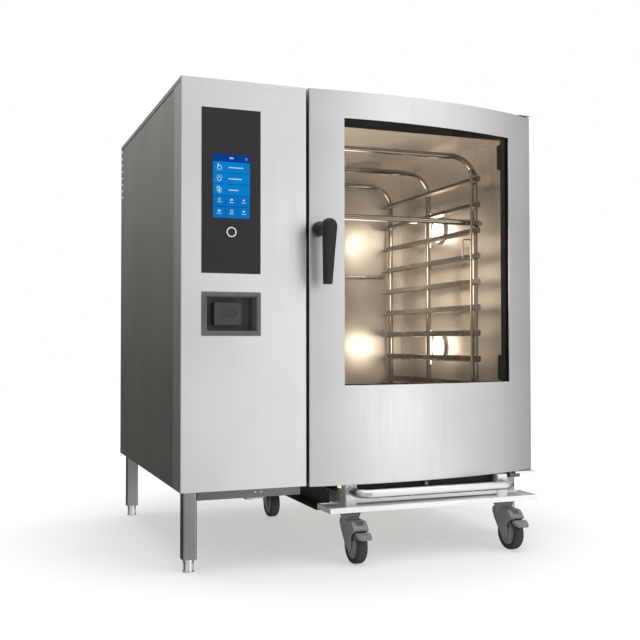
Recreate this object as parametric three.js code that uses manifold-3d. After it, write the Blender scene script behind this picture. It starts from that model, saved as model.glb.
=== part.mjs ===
// Roll-in combi steamer oven: a cabinet on legs, a bowed glass door and a rack trolley.
// Millimetres, +Z up. Inside the builders X runs right from the cabinet's left side,
// Y runs back from the control fascia and Z up from the floor; the whole group is then
// shifted so that the origin is the middle of the footprint, on the floor.
import * as THREE from 'three';
import { mergeVertices } from 'three/addons/utils/BufferGeometryUtils.js';
import Module from 'manifold-3d';

const wasm = await Module();
wasm.setup();

// ---- driving dimensions ----
const WIDTH = 1111;
const DEPTH = 962;
const BODY_BOTTOM = 216;
const BODY_TOP = 1295;
const SHEET = 1.5;
const GAP = 0.3;
const HANDLE_REACH = 97;

const COLUMN_WIDTH = 345;
const FASCIA_RETURN = 86;
const ROOF_EDGE = 13.7;

const DOOR = { left: 353, right: WIDTH, bottom: 213, top: 1298, back: 100, skin: 2 };
const DOOR_ARC = { x: 561, y: -13, radius: 1618 };
const WINDOW = { left: 453, right: 1015, bottom: 485, top: 1221 };
const HINGE = { x: 1095, y: 88, pin: 5 };
const LATCH = { x: 379, z: 911 };

const CAVITY = { left: 300, right: 1065, front: 118.5, back: 896, floor: 243, ceiling: 1250, wall: 3 };
const MOUTH = { left: 404, right: 1060, bottom: 262, top: 1246, plane: 116 };
const FLOOR_SLOT = { left: 432, right: 1032, back: 240 };
const FANS = { y: 500, heights: { upper: 955, lower: 545 }, radius: 140, shaft: 9 };
const LAMPS = { y: 577, heights: { upper: 1000, lower: 586 }, radius: 48 };
const VENT = { x: 600, y: 800, radius: 28.5, flapZ: 1272 };
const DRAIN = { x: 725, y: 868, radius: 22 };
const STEAM = { x: 150, y: 760, radius: 85, inletZ: 430 };

const PANEL = { left: 54, right: 215, bottom: 784, top: 1219, proud: 1.5 };
const SCREEN = { left: 84.6, right: 184.7, bottom: 929.6, top: 1097.5 };
const POWER_KEY = { x: 134.9, z: 893.3, radius: 15 };
const SHOWER = { left: 54, right: 216, bottom: 620, top: 736, deep: 70, holdX: 133, holdZ: 679 };
const REEL = { y: 690, radius: 60, width: 66 };

const LEG = { size: 38, bottom: 34, top: 187 };
const LEGS = {
  front_left: [17, 43],
  front_right: [1057, 150],
  rear_left: [18, 917],
  rear_right: [1057, 917],
};
const FRAME = { bottom: 186, top: BODY_BOTTOM - GAP };

const TROLLEY = { postLeft: 487, postRight: 972, post: 35, low: 145, plate: 134, front: 25, back: 830 };
const NECK = { front: 171, back: 200, plateBack: 236 };
const TRAY = { left: 405, right: 1061, front: -22, back: 76, bottom: 139.5, top: 154.5, recess: 2.5 };
const RACK = { left: 456, right: 1008, tube: 9, top: 1194, foot: 262, corner: 80, front: 190, back: 880 };
const HOOPS = [238, 558, 868];
const SHELVES = { count: 11, top: 1111, pitch: 81.4, lip: 30, height: 19 };
const PUSH_BAR = { z: 978, y: 190 };
const TRAY_STOP = { x: 955, y: 170, bottom: 284, top: 1146, rod: 4, loop: 31, loopBottom: 861, loopTop: 922 };
const CASTER = {
  front: 28, rear: 770, left: 484, right: 975, trail: 40, radius: 50, wheel: 32, head: 29, fork: 44,
};
const LOUVRES = { count: 8, bottom: 1108, pitch: 23, height: 12 };

// ---- materials ----
const steel = () => new THREE.MeshStandardMaterial({ color: 0xb9bab9, roughness: 0.35, metalness: 1 });
const bright = () => new THREE.MeshStandardMaterial({ color: 0xcbccca, roughness: 0.2, metalness: 1 });
const dark = () => new THREE.MeshStandardMaterial({ color: 0x27282b, roughness: 0.5, metalness: 0 });
const black = () => new THREE.MeshStandardMaterial({ color: 0x101011, roughness: 0.6, metalness: 0 });
const grey = () => new THREE.MeshStandardMaterial({ color: 0x7d8388, roughness: 0.55, metalness: 0 });
const glass = () => new THREE.MeshStandardMaterial({
  color: 0xdfe8e6, roughness: 0.05, metalness: 0, transparent: true, opacity: 0.3,
});
const lampGlass = () => new THREE.MeshStandardMaterial({ color: 0xfff6e0, roughness: 0.2, metalness: 0 });
const wool = () => new THREE.MeshStandardMaterial({ color: 0xb8a77c, roughness: 0.95, metalness: 0 });
const castMetal = () => new THREE.MeshStandardMaterial({ color: 0x8b8f92, roughness: 0.6, metalness: 0.8 });
const hoseBraid = () => new THREE.MeshStandardMaterial({ color: 0x6f7477, roughness: 0.5, metalness: 0.3 });

// ---- solid helpers ----
function toManifold(geometry) {
  const bare = geometry.index ? geometry.toNonIndexed() : geometry.clone();
  bare.deleteAttribute('normal');
  bare.deleteAttribute('uv');
  const merged = mergeVertices(bare, 1e-4);
  return new wasm.Manifold(new wasm.Mesh({
    numProp: 3,
    vertProperties: new Float32Array(merged.attributes.position.array),
    triVerts: new Uint32Array(merged.index.array),
  }));
}

function toGeometry(manifold) {
  const mesh = manifold.getMesh();
  const geometry = new THREE.BufferGeometry();
  geometry.setAttribute('position', new THREE.BufferAttribute(mesh.vertProperties, 3));
  geometry.setIndex(new THREE.BufferAttribute(mesh.triVerts, 1));
  geometry.computeVertexNormals();
  return geometry;
}

function join(...pieces) {
  return toGeometry(pieces.map(toManifold).reduce((sum, piece) => sum.add(piece)));
}

function cut(base, ...tools) {
  return toGeometry(tools.map(toManifold).reduce((rest, tool) => rest.subtract(tool), toManifold(base)));
}

function overlap(a, b) {
  return toGeometry(toManifold(a).intersect(toManifold(b)));
}

const extrusion = (depth) => ({ depth, bevelEnabled: false, curveSegments: 1 });

// A block between two X, two Y and two Z values.
function block(x0, x1, y0, y1, z0, z1) {
  const geometry = new THREE.BoxGeometry(x1 - x0, y1 - y0, z1 - z0);
  return geometry.translate((x0 + x1) / 2, (y0 + y1) / 2, (z0 + z1) / 2);
}

// A solid of revolution along an axis; the profile is [distance along the axis, radius].
function turned(axis, centre, profile, segments = 20) {
  const points = profile.map(([along, radius]) => new THREE.Vector2(radius, along));
  const geometry = new THREE.LatheGeometry(points, segments);
  if (axis === 'x') geometry.rotateZ(-Math.PI / 2);
  if (axis === 'z') geometry.rotateX(Math.PI / 2);
  return outward(geometry).translate(...centre);
}

// Lathe faces follow the profile's direction, so an inside-out result is turned over.
function outward(geometry) {
  const flat = geometry.index ? geometry.toNonIndexed() : geometry;
  const p = flat.attributes.position;
  const a = new THREE.Vector3();
  const b = new THREE.Vector3();
  const c = new THREE.Vector3();
  let volume = 0;
  for (let i = 0; i < p.count; i += 3) {
    a.fromBufferAttribute(p, i);
    b.fromBufferAttribute(p, i + 1);
    c.fromBufferAttribute(p, i + 2);
    volume += a.dot(b.cross(c));
  }
  if (volume < 0) {
    for (let i = 0; i < p.count; i += 3) {
      a.fromBufferAttribute(p, i);
      b.fromBufferAttribute(p, i + 1);
      p.setXYZ(i, b.x, b.y, b.z);
      p.setXYZ(i + 1, a.x, a.y, a.z);
    }
  }
  return flat;
}

function rod(axis, centre, radius, from, to, segments = 16) {
  return turned(axis, centre, [[from, 0], [from, radius], [to, radius], [to, 0]], segments);
}

function ring(axis, centre, outer, inner, from, to, segments = 24) {
  const profile = [[from, inner], [from, outer], [to, outer], [to, inner], [from, inner]];
  return turned(axis, centre, profile, segments);
}

// A prism of an outline drawn in the XY plane.
function prismZ(outline, z0, z1) {
  const shape = new THREE.Shape(outline.map(([x, y]) => new THREE.Vector2(x, y)));
  const geometry = new THREE.ExtrudeGeometry(shape, extrusion(z1 - z0));
  return geometry.translate(0, 0, z0);
}

// A prism of an outline drawn in the YZ plane, between two X values.
function prismX(outline, x0, x1) {
  const shape = new THREE.Shape(outline.map(([y, z]) => new THREE.Vector2(y, z)));
  const geometry = new THREE.ExtrudeGeometry(shape, extrusion(x1 - x0));
  geometry.applyMatrix4(new THREE.Matrix4().makeBasis(
    new THREE.Vector3(0, 1, 0), new THREE.Vector3(0, 0, 1), new THREE.Vector3(1, 0, 0),
  ));
  return geometry.translate(x0, 0, 0);
}

// A prism of an outline drawn in the XZ plane, between two Y values.
function prismY(outline, y0, y1) {
  const shape = new THREE.Shape(outline.map(([x, z]) => new THREE.Vector2(x, z)));
  const geometry = new THREE.ExtrudeGeometry(shape, extrusion(y1 - y0));
  return geometry.rotateX(Math.PI / 2).translate(0, y1, 0);
}

// A path through fixed stations, so that a sweep keeps straight runs to one step.
class StationPath extends THREE.Curve {
  constructor(stations) {
    super();
    this.stations = stations;
  }

  getSpacedPoints() {
    return this.stations;
  }

  getTangentAt(u, target = new THREE.Vector3()) {
    const last = this.stations.length - 1;
    const i = Math.round(u * last);
    const ahead = this.stations[Math.min(i + 1, last)];
    const behind = this.stations[Math.max(i - 1, 0)];
    return target.subVectors(ahead, behind).normalize();
  }
}

// Stations along a bent wire: straight runs with an arc of the given radius at each corner.
function bentStations(corners, radius, steps) {
  const points = corners.map((corner) => new THREE.Vector3(...corner));
  const stations = [points[0]];
  for (let i = 1; i < points.length - 1; i += 1) {
    const toward = points[i - 1].clone().sub(points[i]).normalize();
    const away = points[i + 1].clone().sub(points[i]).normalize();
    const half = toward.angleTo(away) / 2;
    const reach = radius / Math.tan(half);
    const centre = toward.clone().add(away).normalize();
    centre.multiplyScalar(radius / Math.sin(half)).add(points[i]);
    const from = points[i].clone().addScaledVector(toward, reach).sub(centre);
    const axis = new THREE.Vector3().crossVectors(away, toward).normalize();
    const turn = Math.PI - 2 * half;
    for (let k = 0; k <= steps; k += 1) {
      stations.push(from.clone().applyAxisAngle(axis, turn * k / steps).add(centre));
    }
  }
  stations.push(points[points.length - 1]);
  return stations;
}

// Round bar bent through corners.
function bentRod(corners, rodRadius, bendRadius, { sides = 8, steps = 4 } = {}) {
  const shape = new THREE.Shape();
  for (let i = 0; i < sides; i += 1) {
    const angle = 2 * Math.PI * (i + 0.5) / sides;
    const x = rodRadius * Math.cos(angle);
    const y = rodRadius * Math.sin(angle);
    if (i === 0) shape.moveTo(x, y);
    else shape.lineTo(x, y);
  }
  shape.closePath();
  const stations = bentStations(corners, bendRadius, steps);
  const geometry = new THREE.ExtrudeGeometry(shape, {
    steps: stations.length - 1, curveSegments: 1, extrudePath: new StationPath(stations),
  });
  return outward(geometry);
}

// ---- door surface ----
function doorFace(x) {
  const across = x - DOOR_ARC.x;
  return DOOR_ARC.y + DOOR_ARC.radius - Math.sqrt(DOOR_ARC.radius ** 2 - across ** 2);
}

// Outline between the bowed face, moved back by `near`, and a flat back or a second bowed line.
function bowedOutline(x0, x1, near, back, segments = 14) {
  const outline = [];
  for (let i = 0; i <= segments; i += 1) {
    const x = x0 + (x1 - x0) * i / segments;
    outline.push([x, doorFace(x) + near]);
  }
  for (let i = segments; i >= 0; i -= 1) {
    const x = x0 + (x1 - x0) * i / segments;
    if (typeof back === 'function') outline.push([x, back(x)]);
    else if (i === segments || i === 0) outline.push([x, back]);
  }
  return outline;
}

// ---- cabinet ----
function baseFrame() {
  const { bottom, top } = FRAME;
  const beams = [
    block(60, 98, 60, 940, top - 14, top),
    block(1057, 1095, 121, 955, bottom, top),
    block(17, 1095, 917, 955, bottom, top),
    block(17, 343, 43, 81, bottom, top),
    block(305, 343, 43, 955, bottom, top),
    block(17, 343, 480, 518, bottom, top),
    block(17, 343, 43, 955, top - 2, top),
  ];
  const legs = Object.values(LEGS).map(([x, y]) => cut(
    block(x, x + LEG.size, y, y + LEG.size, LEG.bottom, LEG.top),
    rod('z', [x + LEG.size / 2, y + LEG.size / 2, 0], 8.6, LEG.bottom - 5, LEG.bottom + 62, 12),
  ));
  return join(...beams, ...legs, guideRail(446, -1), guideRail(1012, 1));
}

// An angle under the cavity that leads the trolley in; `side` is where its flange points.
function guideRail(webX, side) {
  const web = [webX, webX - side * -3].sort((a, b) => a - b);
  const flange = [webX, webX + side * 42].sort((a, b) => a - b);
  const strap = side < 0 ? [320, webX] : [webX, 1075];
  const outline = [
    [80, 134], [880, 134], [880, 187], [120, 187], [112, 178], [100, 178], [96, 184], [80, 180],
  ];
  return join(
    prismX(outline, ...web),
    block(...flange, 80, 880, 134, 137),
    block(...strap, 285, 315, 183, 187),
    block(...strap, 785, 815, 183, 187),
  );
}

function leveller([x, y]) {
  const profile = [[0, 0], [0, 17], [8, 14], [33.5, 14], [33.5, 8], [75, 8], [75, 0]];
  return turned('z', [x + LEG.size / 2, y + LEG.size / 2, 0], profile, 12);
}

function controlFascia() {
  const sheet = block(0, COLUMN_WIDTH, 0, SHEET, BODY_BOTTOM, BODY_TOP);
  const leftReturn = block(0, SHEET, 0, FASCIA_RETURN, BODY_BOTTOM, BODY_TOP - ROOF_EDGE - 1);
  const rightReturn = block(
    COLUMN_WIDTH - SHEET, COLUMN_WIDTH, 0, MOUTH.plane - GAP, BODY_BOTTOM, BODY_TOP - ROOF_EDGE - 1,
  );
  const screenHole = block(PANEL.left, PANEL.right, -5, 5, PANEL.bottom, PANEL.top);
  const showerHole = block(66, 206, -5, 5, 630.5, 725.5);
  return cut(join(sheet, leftReturn, rightReturn), screenHole, showerHole);
}

// Openings that run round the rear edge of both side panels and into the rear panel.
function edgeLouvres(x0, x1, y0, y1) {
  const slots = [];
  for (let i = 0; i < LOUVRES.count; i += 1) {
    const z = LOUVRES.bottom + LOUVRES.pitch * i;
    slots.push(block(x0, x1, y0, y1, z, z + LOUVRES.height));
  }
  return slots;
}

function leftSidePanel() {
  const panel = block(0, SHEET, FASCIA_RETURN + 2, DEPTH - 2.5, BODY_BOTTOM, 1278);
  return cut(panel, ...edgeLouvres(-5, 5, 928, 948));
}

function rightSidePanel() {
  const panel = block(WIDTH - SHEET, WIDTH, MOUTH.plane + 3, DEPTH - 2.5, BODY_BOTTOM, 1278);
  return cut(panel, ...edgeLouvres(WIDTH - 5, WIDTH + 5, 928, 948));
}

function rearPanel() {
  const sheet = block(2, WIDTH - 2, DEPTH - SHEET, DEPTH, BODY_BOTTOM, 1278);
  const columns = [[0, 46], [70, 150], [170, 250], [WIDTH - 46, WIDTH]];
  const slots = columns.flatMap(([x0, x1]) => edgeLouvres(x0, x1, DEPTH - 5, DEPTH + 5));
  return cut(sheet, ...slots);
}

function topPanel() {
  const frontY = SHEET + GAP;
  const outline = (inset) => [
    [inset, frontY + inset], [COLUMN_WIDTH - inset, frontY + inset],
    [COLUMN_WIDTH - inset, MOUTH.plane + inset], [WIDTH - inset, MOUTH.plane + inset],
    [WIDTH - inset, DEPTH - inset], [inset, DEPTH - inset],
  ];
  return cut(
    prismZ(outline(0), BODY_TOP - ROOF_EDGE, BODY_TOP),
    prismZ(outline(SHEET), BODY_TOP - ROOF_EDGE - 1, BODY_TOP - SHEET),
    rod('z', [VENT.x, VENT.y, 0], VENT.radius + 4.5, BODY_TOP - 5, BODY_TOP + 5, 20),
  );
}

// ---- cooking cavity ----
function cavityLiner() {
  const { left, right, front, back, floor, ceiling, wall } = CAVITY;
  const flange = block(346, 1106, MOUTH.plane, front, BODY_BOTTOM + 1, 1280);
  const shell = block(left - wall, right + wall, front - 0.5, back + wall, floor - wall, ceiling + wall);
  const inside = block(left, right, front, back, floor, ceiling);
  const mouth = block(MOUTH.left, MOUTH.right, MOUTH.plane - 5, front + 1, MOUTH.bottom, MOUTH.top);
  const slot = block(FLOOR_SLOT.left, FLOOR_SLOT.right, front + 0.5, FLOOR_SLOT.back, floor - 5, floor + 1);
  const shafts = Object.values(FANS.heights).map((z) => rod('x', [0, FANS.y, z], 14, left - 9, left + 9, 16));
  const steam = rod('x', [0, STEAM.y, STEAM.inletZ], 12, left - 9, left + 9, 12);
  const drain = rod('z', [DRAIN.x, DRAIN.y - 5, 0], 16, floor - 9, floor + 9, 16);
  const vent = rod('z', [VENT.x, VENT.y, 0], VENT.radius, ceiling - 9, ceiling + 9, 20);
  return cut(join(flange, shell), inside, mouth, slot, ...shafts, steam, drain, vent);
}

function insulationJacket() {
  const { left, right, back, floor, ceiling, wall } = CAVITY;
  const clear = wall + 1;
  const shell = block(262, 1100, MOUTH.plane + 4, 935, 220, 1276);
  const inside = block(left - clear, right + clear, 100, back + clear, floor - clear, ceiling + clear);
  const slot = block(FLOOR_SLOT.left - 2, FLOOR_SLOT.right + 2, 100, FLOOR_SLOT.back + 2, 210, 241);
  const shafts = Object.values(FANS.heights).map((z) => rod('x', [0, FANS.y, z], 14, 255, 300, 16));
  const steam = rod('x', [0, STEAM.y, STEAM.inletZ], 14, 255, 300, 12);
  const drain = rod('z', [DRAIN.x, DRAIN.y - 5, 0], 30, 210, 245, 16);
  const vent = rod('z', [VENT.x, VENT.y, 0], VENT.radius + 5, 1240, 1290, 20);
  return cut(shell, inside, slot, ...shafts, steam, drain, vent);
}

function airBaffle() {
  const plate = block(397, 399, 150, 860, 262, 1232);
  const intakes = Object.values(FANS.heights).map((z) => rod('x', [0, FANS.y, z], 115, 390, 405, 20));
  const posts = [];
  for (const y of [175, 835]) {
    for (const z of [285, 750, 1210]) {
      posts.push(rod('x', [0, y, z], 6, CAVITY.left + GAP, 398, 8));
    }
  }
  return join(cut(plate, ...intakes), ...posts);
}

function fanWheel(z) {
  const parts = [
    rod('x', [0, FANS.y, z], FANS.shaft, 212, 388, 14),
    rod('x', [0, FANS.y, z], FANS.radius, 322, 325, 20),
    rod('x', [0, FANS.y, z], 26, 318, 345, 14),
  ];
  const blades = 10;
  for (let i = 0; i < blades; i += 1) {
    const blade = new THREE.BoxGeometry(60, 62, 3);
    blade.translate(0, FANS.radius - 33, 0);
    blade.rotateX(2 * Math.PI * i / blades);
    parts.push(blade.translate(354, FANS.y, z));
  }
  return join(...parts);
}

function heater(z) {
  const ringRadius = 178;
  const wire = 5;
  const section = (x) => {
    const profile = [];
    for (let i = 0; i <= 4; i += 1) {
      const angle = 2 * Math.PI * (i % 4) / 4;
      profile.push([x + wire * Math.sin(angle), ringRadius + wire * Math.cos(angle)]);
    }
    return turned('x', [0, FANS.y, z], profile, 18);
  };
  const ties = [30, 150, 270].map((degrees) => {
    const angle = THREE.MathUtils.degToRad(degrees);
    const y = FANS.y + ringRadius * Math.cos(angle);
    const height = z + ringRadius * Math.sin(angle);
    return rod('x', [0, y, height], 3, CAVITY.left + GAP, 372, 6);
  });
  return join(section(340), section(366), ...ties);
}

function fanMotor(z) {
  const profile = [[165, 0], [165, 60], [172, 74], [232, 74], [240, 60], [240, 40], [258, 40], [258, 0]];
  const flange = block(256, 261.6, FANS.y - 80, FANS.y + 80, z - 80, z + 80);
  const bore = rod('x', [0, FANS.y, z], FANS.shaft + 1, 205, 270, 16);
  return cut(join(turned('x', [0, FANS.y, z], profile, 16), flange), bore);
}

function steamGenerator() {
  const profile = [[232, 0], [232, 78], [240, 85], [500, 85], [515, 70], [520, 30], [535, 30], [535, 0]];
  const tank = turned('z', [STEAM.x, STEAM.y, 0], profile, 20);
  const outlet = rod('x', [0, STEAM.y, STEAM.inletZ], 9, STEAM.x, CAVITY.left + 2, 12);
  const cradle = block(STEAM.x - 60, STEAM.x + 60, STEAM.y - 60, STEAM.y + 60, 217, 236);
  return join(tank, outlet, cradle);
}

function drainBox() {
  const box = block(650, 800, 845, 910, 132, 212);
  const outlet = rod('y', [DRAIN.x, 0, 160], DRAIN.radius, 905, 961, 16);
  const riser = rod('z', [DRAIN.x, DRAIN.y - 5, 0], DRAIN.radius, 208, 239, 16);
  const hollow = rod('z', [DRAIN.x, DRAIN.y - 5, 0], DRAIN.radius - 4, 180, 245, 16);
  return cut(join(box, outlet, riser), hollow);
}

function ventTube() {
  return ring('z', [VENT.x, VENT.y, 0], VENT.radius + 2.5, VENT.radius, 1253.4, BODY_TOP - GAP, 20);
}

function ventFlap() {
  const disc = rod('z', [VENT.x, VENT.y, 0], VENT.radius - 1, VENT.flapZ - 1, VENT.flapZ + 1, 20);
  const spindle = rod('x', [0, VENT.y, VENT.flapZ], 2, VENT.x - 24, VENT.x + 24, 8);
  return join(disc, spindle);
}

function lamp(z) {
  const profile = [
    [1046, 0], [1048, 26], [1054, 34], [1054, 41], [1057, LAMPS.radius], [1064.7, LAMPS.radius],
    [1064.7, 0],
  ];
  return turned('x', [0, LAMPS.y, z], profile, 20);
}

function doorGasket() {
  const ringOutline = (grow, y0, y1) => block(
    MOUTH.left - grow, MOUTH.right + grow, y0, y1, MOUTH.bottom - grow, MOUTH.top + grow,
  );
  return cut(ringOutline(12, DOOR.back + GAP, MOUTH.plane - GAP), ringOutline(0, 90, 130));
}

// ---- control column ----
function touchPanel() {
  const sheet = block(
    PANEL.left + GAP, PANEL.right - GAP, -PANEL.proud, 3, PANEL.bottom + GAP, PANEL.top - GAP,
  );
  const keyHole = rod('y', [POWER_KEY.x, 0, POWER_KEY.z], POWER_KEY.radius + 0.5, -10, 10, 24);
  return cut(sheet, keyHole);
}

function powerKey() {
  const profile = [[-PANEL.proud, 0], [-PANEL.proud, 15], [4.5, 15], [4.5, 18], [6, 18], [6, 0]];
  return turned('y', [POWER_KEY.x, 0, POWER_KEY.z], profile, 24);
}

function displayUnit() {
  const face = block(SCREEN.left - 6, SCREEN.right + 6, 3.4, 9, SCREEN.bottom - 6, SCREEN.top + 6);
  const board = block(SCREEN.left - 16, SCREEN.right + 16, 8, 34, SCREEN.bottom - 4, SCREEN.top + 60);
  return join(face, board);
}

function electronicsTray() {
  const plate = block(20, 23, 150, 900, 300, 1200);
  const units = [
    block(22, 90, 190, 400, 1060, 1170),
    block(22, 70, 190, 400, 900, 1010),
    block(22, 105, 620, 860, 1040, 1180),
    block(22, 60, 200, 380, 420, 560),
  ];
  const pin = rod('x', [0, REEL.y, reelZ()], 8, 22, 175, 12);
  return join(plate, ...units, pin);
}

function reelZ() {
  return SHOWER.holdZ + 8 + REEL.radius;
}

function hoseReel() {
  const mid = SHOWER.holdX;
  const half = REEL.width / 2;
  const hub = REEL.radius - 8;
  const profile = [
    [mid - half, 8.5], [mid - half, REEL.radius], [mid - half + 4, REEL.radius], [mid - half + 4, hub],
    [mid + half - 4, hub], [mid + half - 4, REEL.radius], [mid + half, REEL.radius], [mid + half, 8.5],
    [mid - half, 8.5],
  ];
  return turned('x', [0, REEL.y, reelZ()], profile, 20);
}

function showerHousing() {
  const { left, right, bottom, top, deep, holdX, holdZ } = SHOWER;
  const bezel = block(left, right, -4, -GAP, bottom, top);
  const sleeve = block(66.5, 205.5, -2, deep, 631, 725);
  const recess = block(69.5, 202.5, -10, deep - 3, 634, 722);
  const hoseHole = rod('y', [holdX, 0, holdZ], 11, 50, 90, 16);
  return cut(join(bezel, sleeve), recess, hoseHole);
}

function showerHead() {
  const { holdX, holdZ } = SHOWER;
  const body = block(holdX - 38, holdX + 38, 24, 52, holdZ - 31, holdZ + 31);
  const grip = block(holdX - 22, holdX + 22, 50, 60, holdZ - 18, holdZ + 18);
  const rose = rod('y', [holdX, 0, holdZ], 22, 20, 30, 20);
  return join(body, grip, rose);
}

function showerHose() {
  return rod('y', [SHOWER.holdX, 0, SHOWER.holdZ], 7, 60.4, REEL.y - 5, 12);
}

// ---- door ----
function doorOuterPanel() {
  const { left, right, bottom, top, back, skin } = DOOR;
  const outer = prismZ(bowedOutline(left, right, 0, back), bottom, top);
  const inner = prismZ(bowedOutline(left + skin, right - skin, skin, back + 1), bottom + skin, top - skin);
  const opening = block(WINDOW.left, WINDOW.right, -40, 90, WINDOW.bottom, WINDOW.top);
  const shaft = rod('y', [LATCH.x, 0, LATCH.z], 9, -20, 20, 16);
  const topPin = rod('z', [HINGE.x, HINGE.y, 0], HINGE.pin + 0.6, top - 9, top + 9, 12);
  const bottomPin = rod('z', [HINGE.x, HINGE.y, 0], HINGE.pin + 0.6, bottom - 9, bottom + 9, 12);
  return cut(outer, inner, opening, shaft, topPin, bottomPin);
}

function doorOuterGlass() {
  const nearFace = DOOR.skin + GAP;
  const outline = bowedOutline(440, 1028, nearFace, (x) => doorFace(x) + nearFace + 6);
  return prismZ(outline, 472, 1234);
}

function windowTunnel() {
  const x0 = WINDOW.left - 5.7;
  const x1 = WINDOW.right + 5.7;
  const z0 = WINDOW.bottom - 5.7;
  const z1 = WINDOW.top + 5.7;
  const wall = 4;
  const duct = cut(
    prismZ(bowedOutline(x0, x1, 10.3, DOOR.back + GAP), z0, z1),
    block(x0 + wall, x1 - wall, -40, 200, z0 + wall, z1 - wall),
  );
  const blockHeight = 76;
  const blocks = [z0 + 9, z1 - blockHeight - 20].map((z) => (
    block(x1 - 16, x1 - 1, 84, DOOR.back + GAP, z, z + blockHeight)
  ));
  return join(duct, ...blocks);
}

function doorLiner() {
  const edge = DOOR.skin + GAP;
  const [left, right] = [DOOR.left + edge, DOOR.right - edge];
  const plate = block(left, right, 98, DOOR.back, DOOR.bottom + edge, DOOR.top - edge);
  const opening = block(WINDOW.left - 6, WINDOW.right + 6, 90, 110, WINDOW.bottom - 6, WINDOW.top + 6);
  const shaft = rod('y', [LATCH.x, 0, LATCH.z], 9, 90, 110, 16);
  return cut(plate, opening, shaft);
}

function doorInnerGlass() {
  return block(436, 1032, DOOR.back + 1, DOOR.back + 6, 468, 1238);
}

function doorHandle() {
  const boss = turned('y', [LATCH.x, 0, LATCH.z], [
    [-82, 0], [-82, 14], [-40, 15], [-20, 20], [-5.4, 20], [-5.4, 8], [100.5, 8], [100.5, 0],
  ], 20);
  const head = rod('y', [LATCH.x, 0, LATCH.z], 21, -HANDLE_REACH, -74, 20);
  const side = [[-HANDLE_REACH, LATCH.z], [-75, LATCH.z], [-60, 757], [-80, 757]];
  const face = [[-20, LATCH.z], [-16, 840], [-12.5, 757], [12.5, 757], [16, 840], [20, LATCH.z]];
  const lever = overlap(
    prismX(side, LATCH.x - 30, LATCH.x + 30),
    prismY(face.map(([dx, z]) => [LATCH.x + dx, z]), -HANDLE_REACH - 5, -50),
  );
  return join(boss, head, lever);
}

function latchHook() {
  return join(
    rod('y', [LATCH.x, 0, LATCH.z], 12, 101, 108, 16),
    block(LATCH.x - 7, LATCH.x + 7, 102, 107, LATCH.z - 24, LATCH.z),
  );
}

function latchKeeper() {
  const plate = block(LATCH.x - 14, LATCH.x + 5, 112, MOUTH.plane - GAP, LATCH.z - 60, LATCH.z - 10);
  const jaw = block(LATCH.x - 14, LATCH.x + 5, 102, 114, LATCH.z - 36, LATCH.z - 27);
  return join(plate, jaw);
}

function hingeTop() {
  const z0 = DOOR.top + 0.4;
  return join(
    block(1025, 1105, 66, 160, z0, z0 + 3),
    block(1025, 1105, 122, 160, BODY_TOP + GAP, z0 + 1),
    rod('z', [HINGE.x, HINGE.y, 0], HINGE.pin, DOOR.top - 24, z0 + 1, 12),
  );
}

function hingeBottom() {
  const z1 = DOOR.bottom - 0.4;
  return join(
    block(1039, 1108, 60, 120.6, z1 - 6, z1),
    rod('z', [HINGE.x, HINGE.y, 0], HINGE.pin, z1 - 1, DOOR.bottom + 24, 12),
  );
}

// ---- trolley ----
function postSpan(centre) {
  return [centre - TROLLEY.post / 2, centre + TROLLEY.post / 2];
}

function trolleyBase() {
  const { postLeft, postRight, post, low, plate, front, back } = TROLLEY;
  const parts = [];
  for (const centre of [postLeft, postRight]) {
    const [x0, x1] = postSpan(centre);
    parts.push(block(x0, x1, front, front + post, plate + 3, DOOR.bottom - 1.3));
    parts.push(block(x0, x1, front + post - 1, back, low, low + post));
  }
  for (const x of [CASTER.left, CASTER.right]) {
    parts.push(block(x - 32, x + 32, CASTER.front - 30, CASTER.front + 30, plate, plate + 4));
    parts.push(block(x - 32, x + 32, CASTER.rear - 30, CASTER.rear + 30, plate, low + 1));
  }
  parts.push(block(postLeft, postRight, front + 4, front + 7, 156, 184));
  parts.push(block(postLeft, postRight, front + post - 8, front + post - 5, low + 35, DOOR.bottom - 2));
  parts.push(block(postLeft, postRight, back - post, back, low, low + post));
  return join(...parts);
}

// The risers that carry the rack, and the plate that closes the cavity's floor slot round them.
function trolleyNeck() {
  const parts = [block(FLOOR_SLOT.left + 4, FLOOR_SLOT.right - 4, NECK.front, NECK.plateBack, 234, 238)];
  for (const centre of [TROLLEY.postLeft, TROLLEY.postRight]) {
    const bottom = TROLLEY.low + TROLLEY.post + GAP;
    parts.push(block(...postSpan(centre), NECK.front, NECK.back, bottom, RACK.foot - GAP));
  }
  return join(...parts);
}

function dripTray() {
  const { left, right, front, back, bottom, top, recess } = TRAY;
  const notches = [TROLLEY.postLeft, TROLLEY.postRight].map((centre) => {
    const [x0, x1] = postSpan(centre);
    return block(x0 - 0.6, x1 + 0.6, TROLLEY.front - 0.6, back + 5, bottom - 5, top + 5);
  });
  const rim = 5;
  const pan = cut(
    block(left, right, front, back, bottom, top),
    block(left + rim, right - rim, front + rim, back - rim, top - recess, top + 5),
    block(left + SHEET, right - SHEET, front + SHEET, back - SHEET, bottom - 5, top - recess - SHEET),
  );
  return cut(pan, ...notches);
}

function trolleyHandle() {
  const z = 190;
  const y = TROLLEY.front - GAP - 0.1;
  const corners = [
    [TROLLEY.postLeft, y, z],
    [TROLLEY.postLeft, -38, z],
    [TROLLEY.postRight, -38, z],
    [TROLLEY.postRight, y, z],
  ];
  return bentRod(corners, 12.5, 34, { sides: 12, steps: 5 });
}

function shelfRail(side, z) {
  const wallX = side < 0 ? RACK.left + RACK.tube : RACK.right - RACK.tube;
  const inward = -side;
  const web = [wallX - inward * 3, wallX + inward * 1.5].sort((a, b) => a - b);
  const lip = [wallX, wallX + inward * SHELVES.lip].sort((a, b) => a - b);
  return join(
    block(...web, RACK.front, RACK.back, z, z + SHELVES.height),
    block(...lip, RACK.front, RACK.back, z, z + 2),
  );
}

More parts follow.
